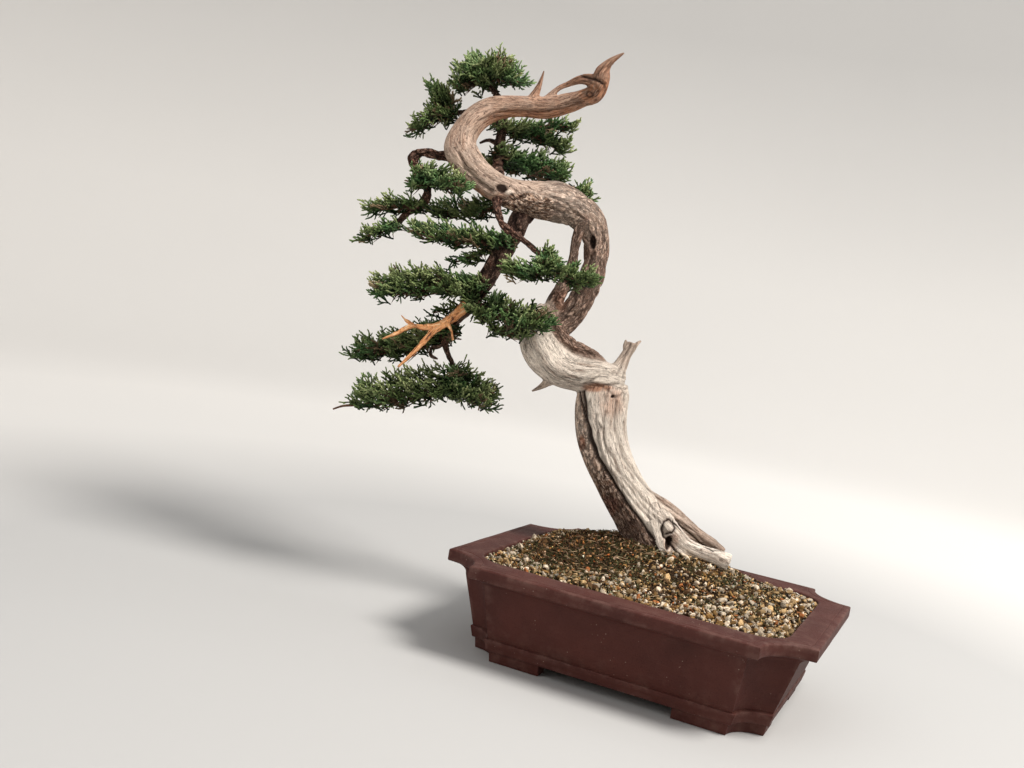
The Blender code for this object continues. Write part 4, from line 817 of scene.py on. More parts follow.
def leaf_material():
    """Scale-leaved cords: near black at the foot as painted shade inside the spray, lighter at the tip, partly
    paler new growth and partly painted light; the tone paints more light on shoots high and far out in the
    dome.
    """
    g = Graph("juniper_scales")
    tone = g.attribute("tone")
    scales = g.cells(g.attribute("scale", "Vector"))
    # Painted shade: near black at the foot of each cord, inside the spray
    painted_shade = g.ramp(
        tone, (0.0, (0.002, 0.006, 0.003)), (0.5, (0.009, 0.020, 0.007)), (1.0, (0.030, 0.054, 0.015))
    )
    light = g.ramp(
        tone, (0.0, (0.048, 0.086, 0.026)), (0.5, (0.210, 0.290, 0.094)), (1.0, (0.590, 0.640, 0.300))
    )
    cool = g.ramp(
        tone, (0.0, (0.020, 0.072, 0.028)), (0.5, (0.092, 0.250, 0.085)), (1.0, (0.350, 0.530, 0.230))
    )
    old = g.ramp(tone, (0.0, (0.075, 0.045, 0.030)), (0.6, (0.190, 0.120, 0.072)), (1.0, (0.360, 0.270, 0.165)))
    light = g.wash(light, (cool, g.noise(g.place(), 26.0, 2.0), (0.46, 0.0), (0.60, 0.75)))
    # Lighter toward the tips: partly paler new growth, partly painted light
    colour = g.wash(
        painted_shade,
        (light, g.attribute("tip"), (0.16, 0.0), (0.95, 1.0)),
        ((0.012, 0.024, 0.008), scales, (0.35, 0.0), (0.8, 0.45)),
    )
    colour = g.mix(g.attribute("brown"), colour, old)
    return g.finish(colour, g.ramp(scales, (0.2, 0.48), (0.9, 0.70)), g.bump(scales, -0.0004, 0.8), 0.14)


def twig_material():
    """Thin brown twigs inside the foliage."""
    g = Graph("juniper_twigs")
    broad = g.noise(g.place(), 220.0, 4.0, 0.65)
    colour = g.ramp(
        broad, (0.32, (0.030, 0.016, 0.012)), (0.50, (0.110, 0.056, 0.036)), (0.70, (0.230, 0.135, 0.080))
    )
    normal = g.bump(g.noise(g.place(), 1100.0), 0.0004, 0.9)
    return g.finish(colour, g.ramp(broad, (0.3, 0.95), (0.7, 0.75)), normal, 0.10)


def grain_material():
    """Loose mineral grains, each with its own colour, pitted and dusty."""
    g = Graph("soil_grains")
    mottle = g.noise(g.place(), 420.0, 4.0, 0.7)
    pits = g.cells(g.place(), 1500.0)
    colour = g.wash(
        g.attribute("tint", "Color"),
        ((0.070, 0.040, 0.020), mottle, (0.40, 0.65), (0.52, 0.0)),
        ((0.74, 0.63, 0.46), mottle, (0.60, 0.0), (0.74, 0.25)),
        ((0.050, 0.032, 0.022), pits, (0.12, 0.40), (0.30, 0.0)),
    )
    normal = g.bump(g.sum(mottle, pits, 0.4), 0.0006, 0.9)
    return g.finish(colour, g.ramp(mottle, (0.3, 0.98), (0.7, 0.85)), normal, 0.08)


def bed_material():
    """Fine dark soil under the loose grains, with moss in places."""
    g = Graph("soil_bed_fines")
    crumb = g.noise(g.place(), 520.0, 5.0, 0.7)
    earth = g.ramp(
        crumb, (0.34, (0.004, 0.003, 0.002)), (0.50, (0.020, 0.012, 0.007)), (0.68, (0.100, 0.060, 0.030))
    )
    moss = g.ramp(crumb, (0.35, (0.010, 0.010, 0.005)), (0.65, (0.060, 0.050, 0.020)))
    colour = g.mix(g.attribute("moss"), earth, moss)
    return g.finish(colour, g.ramp(crumb, (0.3, 1.0), (0.7, 0.88)), g.bump(crumb, 0.0014), 0.04)


def moss_material():
    """Short moss and dry fibres on the soil."""
    g = Graph("moss_and_fibres")
    tone = g.attribute("tone")
    green = g.ramp(
        tone, (0.0, (0.018, 0.017, 0.008)), (0.5, (0.085, 0.080, 0.032)), (0.8, (0.240, 0.225, 0.115)),
        (1.0, (0.520, 0.500, 0.340)),
    )
    dry = g.ramp(tone, (0.0, (0.018, 0.009, 0.006)), (0.5, (0.125, 0.062, 0.032)), (1.0, (0.480, 0.350, 0.210)))
    rough = g.noise(g.place(), 900.0, 2.0)
    colour = g.mix(g.attribute("brown"), green, dry)
    return g.finish(colour, g.ramp(rough, (0.3, 0.95), (0.7, 0.75)), g.bump(rough, 0.0002, 0.6), 0.08)


def pot_material():
    """Unglazed maroon stoneware with a few pale specks and edges worn a little lighter."""
    g = Graph("unglazed_stoneware")
    place = g.place()
    cloud = g.noise(place, 12.0, 4.0, 0.6, 0.5)
    grain = g.noise(place, 800.0, 3.0, 0.65)
    drag = g.grain(place, 60.0, 700.0)
    patch = g.noise(place, 70.0, 4.0, 0.65)
    clay = g.ramp(
        cloud, (0.30, (0.045, 0.0132, 0.0100)), (0.50, (0.060, 0.0170, 0.0128)), (0.72, (0.077, 0.0220, 0.0162))
    )
    clay = g.wash(
        clay,
        ((0.098, 0.038, 0.031), patch, (0.52, 0.0), (0.72, 0.22)),
        ((0.090, 0.034, 0.028), drag, (0.55, 0.0), (0.75, 0.18)),
        ((0.020, 0.008, 0.007), grain, (0.30, 0.45), (0.42, 0.0)),
    )
    dots = g.ramp(g.cells(place, 240.0), (0.08, 1.0), (0.14, 0.0))
    sparse = g.ramp(g.noise(place, 46.0, 2.0), (0.56, 0.0), (0.66, 0.65))
    clay = g.mix(g.times(dots, sparse), clay, (0.36, 0.26, 0.21))
    worn = g.times(g.attribute("worn"), g.ramp(patch, (0.42, 0.0), (0.66, 0.50)), True)
    clay = g.mix(worn, clay, (0.160, 0.088, 0.072))
    dust = g.times(g.attribute("dust"), g.ramp(patch, (0.48, 0.0), (0.72, 0.36)))
    clay = g.mix(dust, clay, (0.130, 0.074, 0.054))
    normal = g.bump(g.sum(g.times(grain, 0.6), drag, 0.5), 0.0003, 0.7)
    normal = g.bump(patch, 0.0005, 0.35, normal)
    return g.finish(clay, g.ramp(grain, (0.3, 0.72), (0.7, 0.56)), normal, 0.18)


def plastic_material():
    """Black moulded drainage mesh."""
    g = Graph("drainage_mesh_plastic")
    dust = g.noise(g.place(), 160.0, 4.0, 0.65)
    colour = g.ramp(dust, (0.40, (0.012, 0.012, 0.012)), (0.75, (0.055, 0.045, 0.036)))
    normal = g.bump(g.noise(g.place(), 1300.0), 0.0002, 0.5)
    return g.finish(colour, g.ramp(dust, (0.3, 0.42), (0.7, 0.7)), normal, 0.5)


def stage_material():
    """The matt floor and wall, from grey to pale: painted shade, grey near the pot and towards the top of the
    wall.
    """
    g = Graph("pale_backdrop")
    cloud = g.noise(g.place(), 0.8, 2.0)
    pale = g.sum(g.attribute("pale"), g.maths("SUBTRACT", cloud, 0.5), 0.08)
    colour = g.ramp(pale, (0.0, (0.40, 0.398, 0.392)), (1.0, (0.92, 0.890, 0.845)))
    return g.finish(colour, g.ramp(cloud, (0.3, 0.9), (0.7, 0.95)), None, 0.1)


def unit(vector):
    return vector / max(math.sqrt(vector @ vector), 1e-9)


def spline_value(a, b, c, d, t):
    """A value on the smooth curve from b to c."""
    return 0.5 * (2 * b + (c - a) * t + (2 * a - 5 * b + 4 * c - d) * t * t + (3 * b - a - 3 * c + d) * t**3)


def quadratic(a, b, c, t):
    """A point on the curve from a to c that b bends."""
    return (1 - t) ** 2 * a + 2 * t * (1 - t) * b + t * t * c


def leaning(a, b, angle):
    """The direction a, leaned towards b."""
    return a * math.cos(angle) + b * math.sin(angle)


class Limb:
    """A limb's smooth centreline, with its radii and a frame carried along it."""

    def __init__(self, stations):
        data = np.array([(*seen(x, y, back * LIMB_UNIT), size * LIMB_UNIT) for x, y, back, size in stations])
        last = len(data) - 1
        rows, turns = [], []
        for i in range(last):
            a, b, c, d = data[max(i - 1, 0)], data[i], data[i + 1], data[min(i + 2, last)]
            count = max(math.ceil(np.linalg.norm((c - b)[:3]) / LIMB_STEP), 2)
            for step in range(count):
                row = spline_value(a, b, c, d, step / count)
                row[3] = max(row[3], min(b[3], c[3]))
                rows.append(row)
                turns.append(TWIST_PER_STATION * (i + step / count))
        rows = np.array([*rows, data[-1]])
        self.points, self.radii = rows[:, :3].copy(), rows[:, 3].copy()
        self.turns = np.array([*turns, TWIST_PER_STATION * last])
        steps = np.linalg.norm(np.diff(self.points, axis=0), axis=1)
        self.lengths = np.concatenate([[0.0], np.cumsum(steps)])
        ahead = np.gradient(self.points, axis=0)
        self.ahead = ahead / np.linalg.norm(ahead, axis=1)[:, None]
        sides = [unit(np.cross(self.ahead[0], np.array(FORWARD)))]
        for ahead in self.ahead[1:]:
            sides.append(unit(sides[-1] - ahead * (sides[-1] @ ahead)))
        self.side = np.array(sides)
        self.over = np.cross(self.ahead, self.side)

    def tube(self, sides, start=0):
        """A closed tube along the limb from a sample on, as points, quads and triangles."""
        turned = np.arange(sides) * 2 * math.pi / sides - self.turns[start:, None]
        fluted = 1 + FLUTE_THREE * np.cos(3 * turned) + FLUTE_FIVE * np.cos(5 * turned + 1)
        x, y = (value[:, None] for value in circle(sides))
        out = x * self.side[start:, None] + y * self.over[start:, None]
        rings = self.points[start:, None] + (self.radii[start:, None] * fluted)[:, :, None] * out
        points = np.vstack([rings.reshape(-1, 3), self.points[start], self.points[-1]])
        return points, *closed_faces(len(rings), sides)

    def nearest(self, points):
        """For each point: how far beyond the surface it lies, its length along, its angle, its sample."""
        index = np.zeros(len(points), int)
        square = (self.points**2).sum(axis=1)
        for start in range(0, len(points), CHUNK):
            part = points[start : start + CHUNK]
            index[start : start + CHUNK] = (square[None] - 2 * part @ self.points.T).argmin(axis=1)
        away = points - self.points[index]
        along, x, y = ((away * axis[index]).sum(axis=1) for axis in (self.ahead, self.side, self.over))
        beyond = np.linalg.norm(away, axis=1) - self.radii[index]
        return beyond, self.lengths[index] + along, np.arctan2(y, x), index


def line_distance(columns, rows, line):
    """The distance in pixels from each place to a chain of places in the picture."""
    best = np.full(len(columns), 1e9)
    for (x0, y0), (x1, y1) in zip(line, line[1:]):
        dx, dy = x1 - x0, y1 - y0
        share = np.clip(((columns - x0) * dx + (rows - y0) * dy) / (dx * dx + dy * dy), 0, 1)
        best = np.minimum(best, np.hypot(columns - x0 - share * dx, rows - y0 - share * dy))
    return best


def bell(value, width):
    """1 where the value is 0, with a smooth fall to each side."""
    return np.exp(-((value / width) ** 2))


def wood_fields(points, limbs, dresses, seed):
    """What each limb gives to the points near it, blended where limbs meet.

    Gives rows of depth, darkness painted as shade in cracks and bark gaps, lifted bark, bark,
    paleness and warmth, then places in the flow of the grain, each point's own limb, and where it
    lies on each limb."""
    found = [limb.nearest(points) for limb in limbs]
    beyond = np.array([item[0] for item in found])
    weights = np.exp(-(beyond - beyond.min(axis=0)) / JOIN_BLEND)
    weights /= weights.sum(axis=0)
    owner = beyond.argmin(axis=0)
    fields, flow = np.zeros((len(points), 6)), np.zeros((len(points), 3))
    for number, (limb, dress) in enumerate(zip(limbs, dresses)):
        near = weights[number] > 0.02
        if not near.any():
            continue
        _, length, angle, index = (value[near] for value in found[number])
        rows = np.array(dress)
        look = np.column_stack(
            [np.interp(length / limb.lengths[-1], rows[:, 0], rows[:, k]) for k in (1, 2, 3)]
        )
        bark = look[:, 0]
        size = float(np.median(limb.radii))
        shift = np.array([7.3 * number, 3.1 * number, 0.0])
        swaying = np.column_stack([length / SWAY_LENGTH, np.cos(angle) * 0.7, np.sin(angle) * 0.7])
        angle = angle + 0.5 * soft_noise(swaying + number, seed + 5)
        place = np.column_stack([np.cos(angle) * size, np.sin(angle) * size, length])
        wide = rough_noise(place / FURROW_SIZE + shift, seed)
        cracks = bell(soft_noise(place / (FURROW_SIZE * 0.8) + shift + 40, seed + 9), 0.11)
        swell = rough_noise(place / SWELL_SIZE + shift, seed + 21, 2)
        plates = soft_noise(place / PLATE_SIZE + shift, seed + 31)
        gaps = bell(plates, 0.15)
        flakes = rough_noise(place / FLAKE_SIZE + shift, seed + 37)
        bare = FURROW_RELIEF * wide - CRACK_RELIEF * cracks + SWELL_RELIEF * swell
        barked = PLATE_RELIEF * np.abs(plates) - GAP_RELIEF * gaps + FLAKE_RELIEF * flakes + BARK_SWELL * swell
        thick = np.clip(limb.radii[index] / (0.010 - 0.006 * bark), 0.12, 1.0)
        depth = thick * (bare * (1 - bark) + barked * bark)
        # Painted shade: bare wood darkened in its cracks and bark darkened in the gaps between its plates
        painted_shade = np.clip(0.38 * cracks * (1 - bark) + 0.85 * gaps * bark - 0.16, 0, 1)
        lifted = np.clip(np.abs(plates) * 1.6 - 0.55 + 0.5 * flakes, 0, 1)
        fields[near] += weights[number][near][:, None] * np.column_stack([depth, painted_shade, lifted, look])
        mine = owner[near] == number
        flow[np.flatnonzero(near)[mine]] = place[mine] + np.array([0.11 * number, 0.07 * number, 0.0])
    return fields, flow, owner, found


def front_share(points, normals):
    """1 where a place faces the eye and 0 where it faces away."""
    ray = points - np.array(EYE)
    facing = -(ray * normals).sum(axis=1) / np.linalg.norm(ray, axis=1)
    return smooth_step(-0.05, 0.25, facing)


def spot_share(columns, rows, spot, grown=(1.0, 1.0)):
    """1 at the middle of a spot in the picture and 0 outside it."""
    far = np.hypot((columns - spot[0]) / (spot[2] * grown[0]), (rows - spot[1]) / (spot[3] * grown[1]))
    return 1 - smooth_step(0.55, 1.15, far)


def lift_to(values, least):
    np.maximum(values, least, out=values)


def dress_trunk(points, normals, limbs, fields, owner, found):
    """The trunk's own places: the strip of bark, holes, knots and the long furrows, with painted shade in the
    grooves, holes and furrows.
    """
    depth, painted_shade, _, bark, pale, warm = fields.T
    columns, rows = projected(points)
    front = front_share(points, normals)
    facing = (normals @ np.array(FORWARD)) < 0.0
    down = -(normals @ np.array(UP))
    wander = 1.2 * soft_noise(points / 0.012, 77)

    # The strip of bark, to the left of an edge in front and of a line right of the middle behind
    edge = np.array(BARK_EDGE, float)
    side = columns - np.interp(rows, edge[:, 1], edge[:, 0]) + wander
    inside = smooth_step(BARK_TOP_ROW - 4, BARK_TOP_ROW + 6, rows) * (owner == 0)
    sample = found[0][3]
    half_radius = 0.5 * limbs[0].radii[sample] * FOCAL_PIXELS / TREE_DEPTH
    behind = columns - (projected(limbs[0].points[sample])[0] + half_radius)
    strip = inside * np.where(
        facing, 1 - smooth_step(-1.2, 1.2, side), 1 - smooth_step(-3.0, 3.0, behind + 3 * wander)
    )
    lift_to(bark, strip * (0.72 + 0.28 * smooth_step(425, 490, rows)))
    pale[:] = pale * (1 - strip) + (1.0 - 0.62 * smooth_step(430, 525, rows)) * strip
    # Painted shade: the groove along the bark's edge is darkened
    groove = bell(side, 2.2) * inside * front
    depth -= EDGE_GROOVE * groove
    lift_to(painted_shade, groove)

    # Painted shade: each hole is darkened where it is sunk
    for spot in HOLES:
        share = spot_share(columns + 2 * wander, rows - 2 * wander, spot) * front
        depth -= spot[4] * share
        lift_to(painted_shade, np.minimum(1.5 * share, 1.0))
        depth += HOLE_LIP * spot_share(columns, rows, spot, (1.7, 1.8)) * front * (1 - share)
    lens = spot_share(columns, rows, KNOT_LENS) * front
    depth += KNOT_LENS_HEIGHT * lens
    painted_shade *= 1 - lens
    lift_to(pale, lens)
    for spot in WARM_SPOTS:
        lift_to(warm, spot[4] * spot_share(columns + 3 * wander, rows, spot) * front)
    # Painted shade: each oval groove is darkened by its amount
    for column, row, half_x, half_y, amount in OVALS:
        far = np.hypot((columns - column) / half_x, (rows - row) / half_y) + 0.09 * wander
        share = bell((far - 1) * min(half_x, half_y), 1.7) * front
        depth -= OVAL_DEPTH * share
        lift_to(painted_shade, amount * share)
    # Painted shade: each furrow is darkened by its darkness
    for lines, half, sunk, dark, across, along in FURROWS:
        for line in lines:
            far = line_distance(columns + across * wander, rows + along * wander, line)
            share = bell(far, half) * front
            depth -= sunk * share
            lift_to(painted_shade, dark * share)

    # The upper trunk: warmer on the down-facing side of its far part, partly the wood's warm colour and partly
    # painted shade, and dark bark under the part with the knot hole
    share = found[2][1] / limbs[2].lengths[-1]
    curved = (owner == 2) * smooth_step(0.40, 0.50, share)
    lift_to(warm, 0.90 * smooth_step(0.05, 0.80, down) * curved)
    edge = np.array(DARK_EDGE, float)
    below = rows - np.interp(columns, edge[:, 0], edge[:, 1]) + 2.0 * wander
    low_limb = (owner == 2) * smooth_step(0.32, 0.36, share) * (1 - smooth_step(0.50, 0.55, share))
    dark = np.where(facing, smooth_step(-1.5, 3.0, below), smooth_step(-0.1, 0.4, down)) * low_limb
    lift_to(bark, dark)
    lift_to(pale, 0.95 * dark)
    warm *= 1 - 0.8 * dark


def make_wood(name, node, voxel, lumps, parts, seed, material):
    """One wooden piece: tubes joined by a remesh, with thin tips kept as tubes, then carved."""
    limbs = [Limb(stations) for stations, _ in parts]
    solid = array_mesh("rough", *merge([limb.tube(TUBE_SIDES) for limb in limbs]))
    set_modifier(solid, "REMESH", mode="VOXEL", voxel_size=voxel)
    set_modifier(solid, "SMOOTH", factor=0.5, iterations=4)
    body = evaluated(solid, "joined")
    pieces = [mesh_arrays(body.data)]
    bpy.data.objects.remove(body, do_unlink=True)
    for limb in limbs:
        if limb.radii[-1] < THIN_TIP:
            thick = np.flatnonzero(limb.radii >= THIN_TIP)
            pieces.append(limb.tube(TIP_SIDES, max(int(thick[-1]) - 2, 0) if len(thick) else 0))
    made = array_mesh(name, *merge(pieces))
    bm = bmesh.new()
    bm.from_mesh(made.data)
    bmesh.ops.recalc_face_normals(bm, faces=bm.faces[:])
    bm.to_mesh(made.data)
    bm.free()
    points, normals = mesh_points(made)
    fields, flow, owner, found = wood_fields(points, limbs, [dress for _, dress in parts], seed)
    if node == "trunk":
        dress_trunk(points, normals, limbs, fields, owner, found)
    if lumps:
        fields[:, 0] += lumps[0] * rough_noise(points / lumps[1], seed + 51, 2)
    move_points(made, points + normals * fields[:, :1])
    store(made, "flow", flow)
    # The deep values are painted shade for the materials
    for key, values in zip(("painted_shade", "lifted", "bark", "pale", "warm"), fields.T[1:]):
        store(made, key, values)
    made.data.shade_smooth()
    made.data.materials.append(material)
    return made


class Cords:
    """Gathers tapered cords and makes one mesh of them."""

    def __init__(self):
        self.rows = []

    def add(self, a, b, c, radius, tone, brown=0.0, tip=(0.0, 1.0)):
        """A cord from a by b to c. tip is how far its foot and its end are along their tuft."""
        self.rows.append((*a, *b, *c, radius, tone, brown, *tip))

    def mesh(self, rings):
        """Rows of place, tone, brown, tip and scale place for each point, then quads and triangles."""
        data = np.array(self.rows)
        a, b, c = data[:, 0:3], data[:, 3:6], data[:, 6:9]
        radius, tone, brown, low, high = data[:, 9:].T
        length = np.linalg.norm(c - a, axis=1)
        ahead = (c - a) / length[:, None]
        side = np.cross(ahead, np.where(np.abs(ahead[:, 2:]) < 0.8, [[0.0, 0.0, 1.0]], [[1.0, 0.0, 0.0]]))
        side /= np.linalg.norm(side, axis=1)[:, None]
        over = np.cross(ahead, side)
        rows = []

        def add_point(place, share, x, y):
            tip = low + (high - low) * share
            scale = (x * 1.1 + 9 * tone, np.full_like(tone, y * 1.1), share * length / SCALE_LENGTH)
            rows.append(np.column_stack([place, tone, brown, tip, *scale]))

        for share, size in rings:
            for x, y in zip(*circle(CORD_SIDES)):
                out = (x * side + y * over) * (radius * size)[:, None]
                add_point(quadratic(a, b, c, share) + out, share, x, y)
        add_point(c, 1.0, 0.0, 0.0)
        j, k = around(CORD_SIDES)
        last, end = (len(rings) - 1) * CORD_SIDES, len(rings) * CORD_SIDES
        triangles = np.vstack([columns_of(last + j, last + k, end), [(0, 2, 1)]])
        shift = (np.arange(len(a)) * len(rows))[:, None, None]
        quads = (ring_faces(len(rings), CORD_SIDES) + shift).reshape(-1, 4)
        return np.stack(rows, axis=1).reshape(-1, 9), quads, (triangles + shift).reshape(-1, 3)


def grow_shoot(foot, tip, up, chance, cords, tone, brown):
    """One shoot: a curved stem with fingers on both sides, longest near its foot."""
    whole = tip - foot
    length = math.sqrt(whole @ whole)
    bend = (foot + tip) / 2 - up * (0.10 * length)
    cords[0].add(foot, bend, tip, STEM_RADIUS * chance.uniform(0.9, 1.15), tone, brown, (0.0, 0.85))
    count = max(int(length / FINGER_PITCH), 4)
    lateral = unit(np.cross(whole, up + 0.4 * chance.normal(size=3)))
    over = unit(np.cross(lateral, whole))
    for k in range(count):
        t = 0.10 + 0.84 * (k + chance.uniform(0.0, 0.7)) / count
        place = quadratic(foot, bend, tip, t)
        way = unit(quadratic(foot, bend, tip, t + 0.1) - place)
        out = leaning(lateral, over, chance.uniform(-0.9, 0.9)) * (1 if k % 2 else -1)
        aim = unit(leaning(way, out, chance.uniform(0.42, 0.85)) + up * chance.uniform(0.0, 0.22))
        reach = (FINGER_LENGTH[0] + (FINGER_LENGTH[1] - FINGER_LENGTH[0]) * t) * chance.uniform(0.70, 1.20)
        grow_finger(place, aim, way, out, reach, t, chance, cords, tone + chance.uniform(-0.16, 0.16), brown)


def grow_finger(place, aim, way, out, reach, along, chance, cords, tone, brown):
    """One finger that curves forward, with short forks on both sides."""
    end = place + aim * reach + way * (0.12 * reach)
    middle = place + aim * (0.5 * reach) + out * (0.05 * reach)
    # Tip values go from dark at a finger's foot to light at its end: painted shade inside the tuft, and lighter
    # tips that are partly real new growth
    low, high = 0.4 * along, 0.55 + 0.45 * along
    radius = FINGER_RADIUS * chance.uniform(0.85, 1.1)
    cords[1].add(place, middle, end, radius, tone, brown, (0.1 + low, high))
    side = unit(np.cross(aim, np.cross(way, out) + 0.5 * chance.normal(size=3)))
    for k in range(2 if reach > TWO_FORKS_FROM else 1):
        t = 0.22 + 0.36 * k + chance.uniform(0.0, 0.2)
        base = quadratic(place, middle, end, t)
        turn = unit(leaning(aim, side * (1 if k else -1), chance.uniform(0.45, 0.80)))
        size = reach * chance.uniform(0.44, 0.72) * (1.15 - 0.45 * t)
        tip = base + turn * size + aim * (0.12 * size)
        cords[2].add(
            base, base + turn * (0.55 * size), tip, FORK_RADIUS, tone + 0.06, brown, (0.25 + low, high)
        )


def make_foliage(name, boughs, seed, fullness, leaf, twig):
    """One spray: boughs with shoots all through a dome, whose fingers point outward."""
    chance = np.random.default_rng(seed)
    up = np.array(UP)
    cords = [Cords() for _ in CORD_RINGS]
    tubes = []
    for reach, dome, fans, *line in boughs:
        reach, dome = reach / 1000, DOME_GROWN * dome / 1000 * (0.4 + 0.6 * fullness)
        ends = np.linspace(*BOUGH_RADIUS, len(line)) / LIMB_UNIT
        limb = Limb(
            [(column, row, back / 1000 / LIMB_UNIT, end) for (column, row, back), end in zip(line, ends)]
        )
        tubes.append(limb.tube(BOUGH_SIDES))
        count = int(fans * SHOOTS_PER_FAN * fullness * (reach + dome) / FAN_REACH)
        for i in range(count):
            share = (i + chance.random()) / count
            far = math.cos(math.pi * ((i * 0.618034 + 0.15 * chance.random()) % 1.0))
            rise = ((i * 0.754878 + 0.3 * chance.random()) % 1.0) ** 0.75
            index = int(share * (len(limb.points) - 1))
            foot, ahead = limb.points[index], limb.ahead[index]
            width = max(math.sqrt(max(1 - (1.7 * (share - 0.55)) ** 2, 0.0)), 0.55)
            top = dome * width * math.sqrt(max(1 - 0.75 * far * far, 0.05))
            side = unit(np.cross(ahead, up)) * (far * reach * width)
            tip = foot + side + up * (top * (1.22 * rise - 0.22)) + ahead * chance.uniform(-0.002, 0.010)
            radial = unit(side + up * (top * (1.2 * rise - 0.15)) + ahead * 0.004)
            aim = unit(radial + ahead * 0.75 + up * 0.25 + 0.33 * chance.normal(size=3))
            length = chance.uniform(*SHOOT_LENGTH)
            base = tip - aim * length
            # Painted light: shoots high in the dome and far to the side get a lighter tone, low and inner ones
            # a darker one, with random spread
            tone = 0.20 + 0.42 * rise + 0.12 * abs(far) + chance.uniform(-0.25, 0.25)
            brown = 0.85 if chance.random() < BROWN_CHANCE * (1.6 - rise) else 0.0
            grow_shoot(base, tip, up, chance, cords, tone, brown)
            start = limb.points[max(index - int((0.5 + chance.random()) * length / LIMB_STEP), 0)]
            middle = (start + base) / 2 + ahead * 0.002 - up * 0.001
            cords[3].add(start, middle, base, TWIG_RADIUS, chance.random())
    parts = [group.mesh(rings) for group, rings in zip(cords, CORD_RINGS)]
    leafy = sum(len(rows) for rows, _, _ in parts[:3])
    rows, quads, triangles = merge(
        parts + [(np.pad(points, ((0, 0), (0, 6))), *faces) for points, *faces in tubes]
    )
    made = array_mesh(name, rows[:, :3], quads, triangles)
    store(made, "tone", np.clip(rows[:, 3], 0, 1))
    store(made, "brown", rows[:, 4])
    store(made, "tip", rows[:, 5])
    store(made, "scale", rows[:, 6:])
    made.data.materials.append(leaf)
    made.data.materials.append(twig)
    first = read(made.data.loops, "vertex_index")[read(made.data.polygons, "loop_start")]
    made.data.polygons.foreach_set("material_index", (first >= leafy).astype(np.int32))
    made.data.shade_smooth()
    return made


def corner_ring(length, width, corner, hollow):
    """An outline with four corners, cut in or bulging, with points along its sides too."""
    arcs = []
    for sign_x, sign_y in ((1, 1), (-1, 1), (-1, -1), (1, -1)):
        arc = []
        for step in range(NOTCH_STEPS + 1):
            angle = 0.5 * math.pi * step / NOTCH_STEPS
            sine, cosine = math.sin(angle), math.cos(angle)
            in_x, in_y = (sine, cosine) if hollow else (1 - cosine, 1 - sine)
            arc.append((sign_x * (length / 2 - corner * in_x), sign_y * (width / 2 - corner * in_y)))
        arcs.append(arc if sign_x * sign_y > 0 else arc[::-1])
    points = []
    for number, arc in enumerate(arcs):
        start, stop = np.array(arc[-1]), np.array(arcs[(number + 1) % 4][0])
        steps = SHORT_STEPS if number % 2 else LONG_STEPS
        points += arc + [start + (stop - start) * i / steps for i in range(1, steps)]
    return np.array(points)


def outer_ring(inset, notch):
    """The pot's outline, moved in from the rim, with indented corners."""
    return corner_ring(RIM_LENGTH - 2 * inset, RIM_WIDTH - 2 * inset, notch, True)


def inner_ring(share, inset=0.0):
    """The pot's inside, at a share of the way from its floor to its opening."""
    length = FLOOR_LENGTH + share * (OPENING_LENGTH - FLOOR_LENGTH)
    width = FLOOR_WIDTH + share * (OPENING_WIDTH - FLOOR_WIDTH)
    return corner_ring(length - 2 * inset, width - 2 * inset, OPENING_ROUND, False)


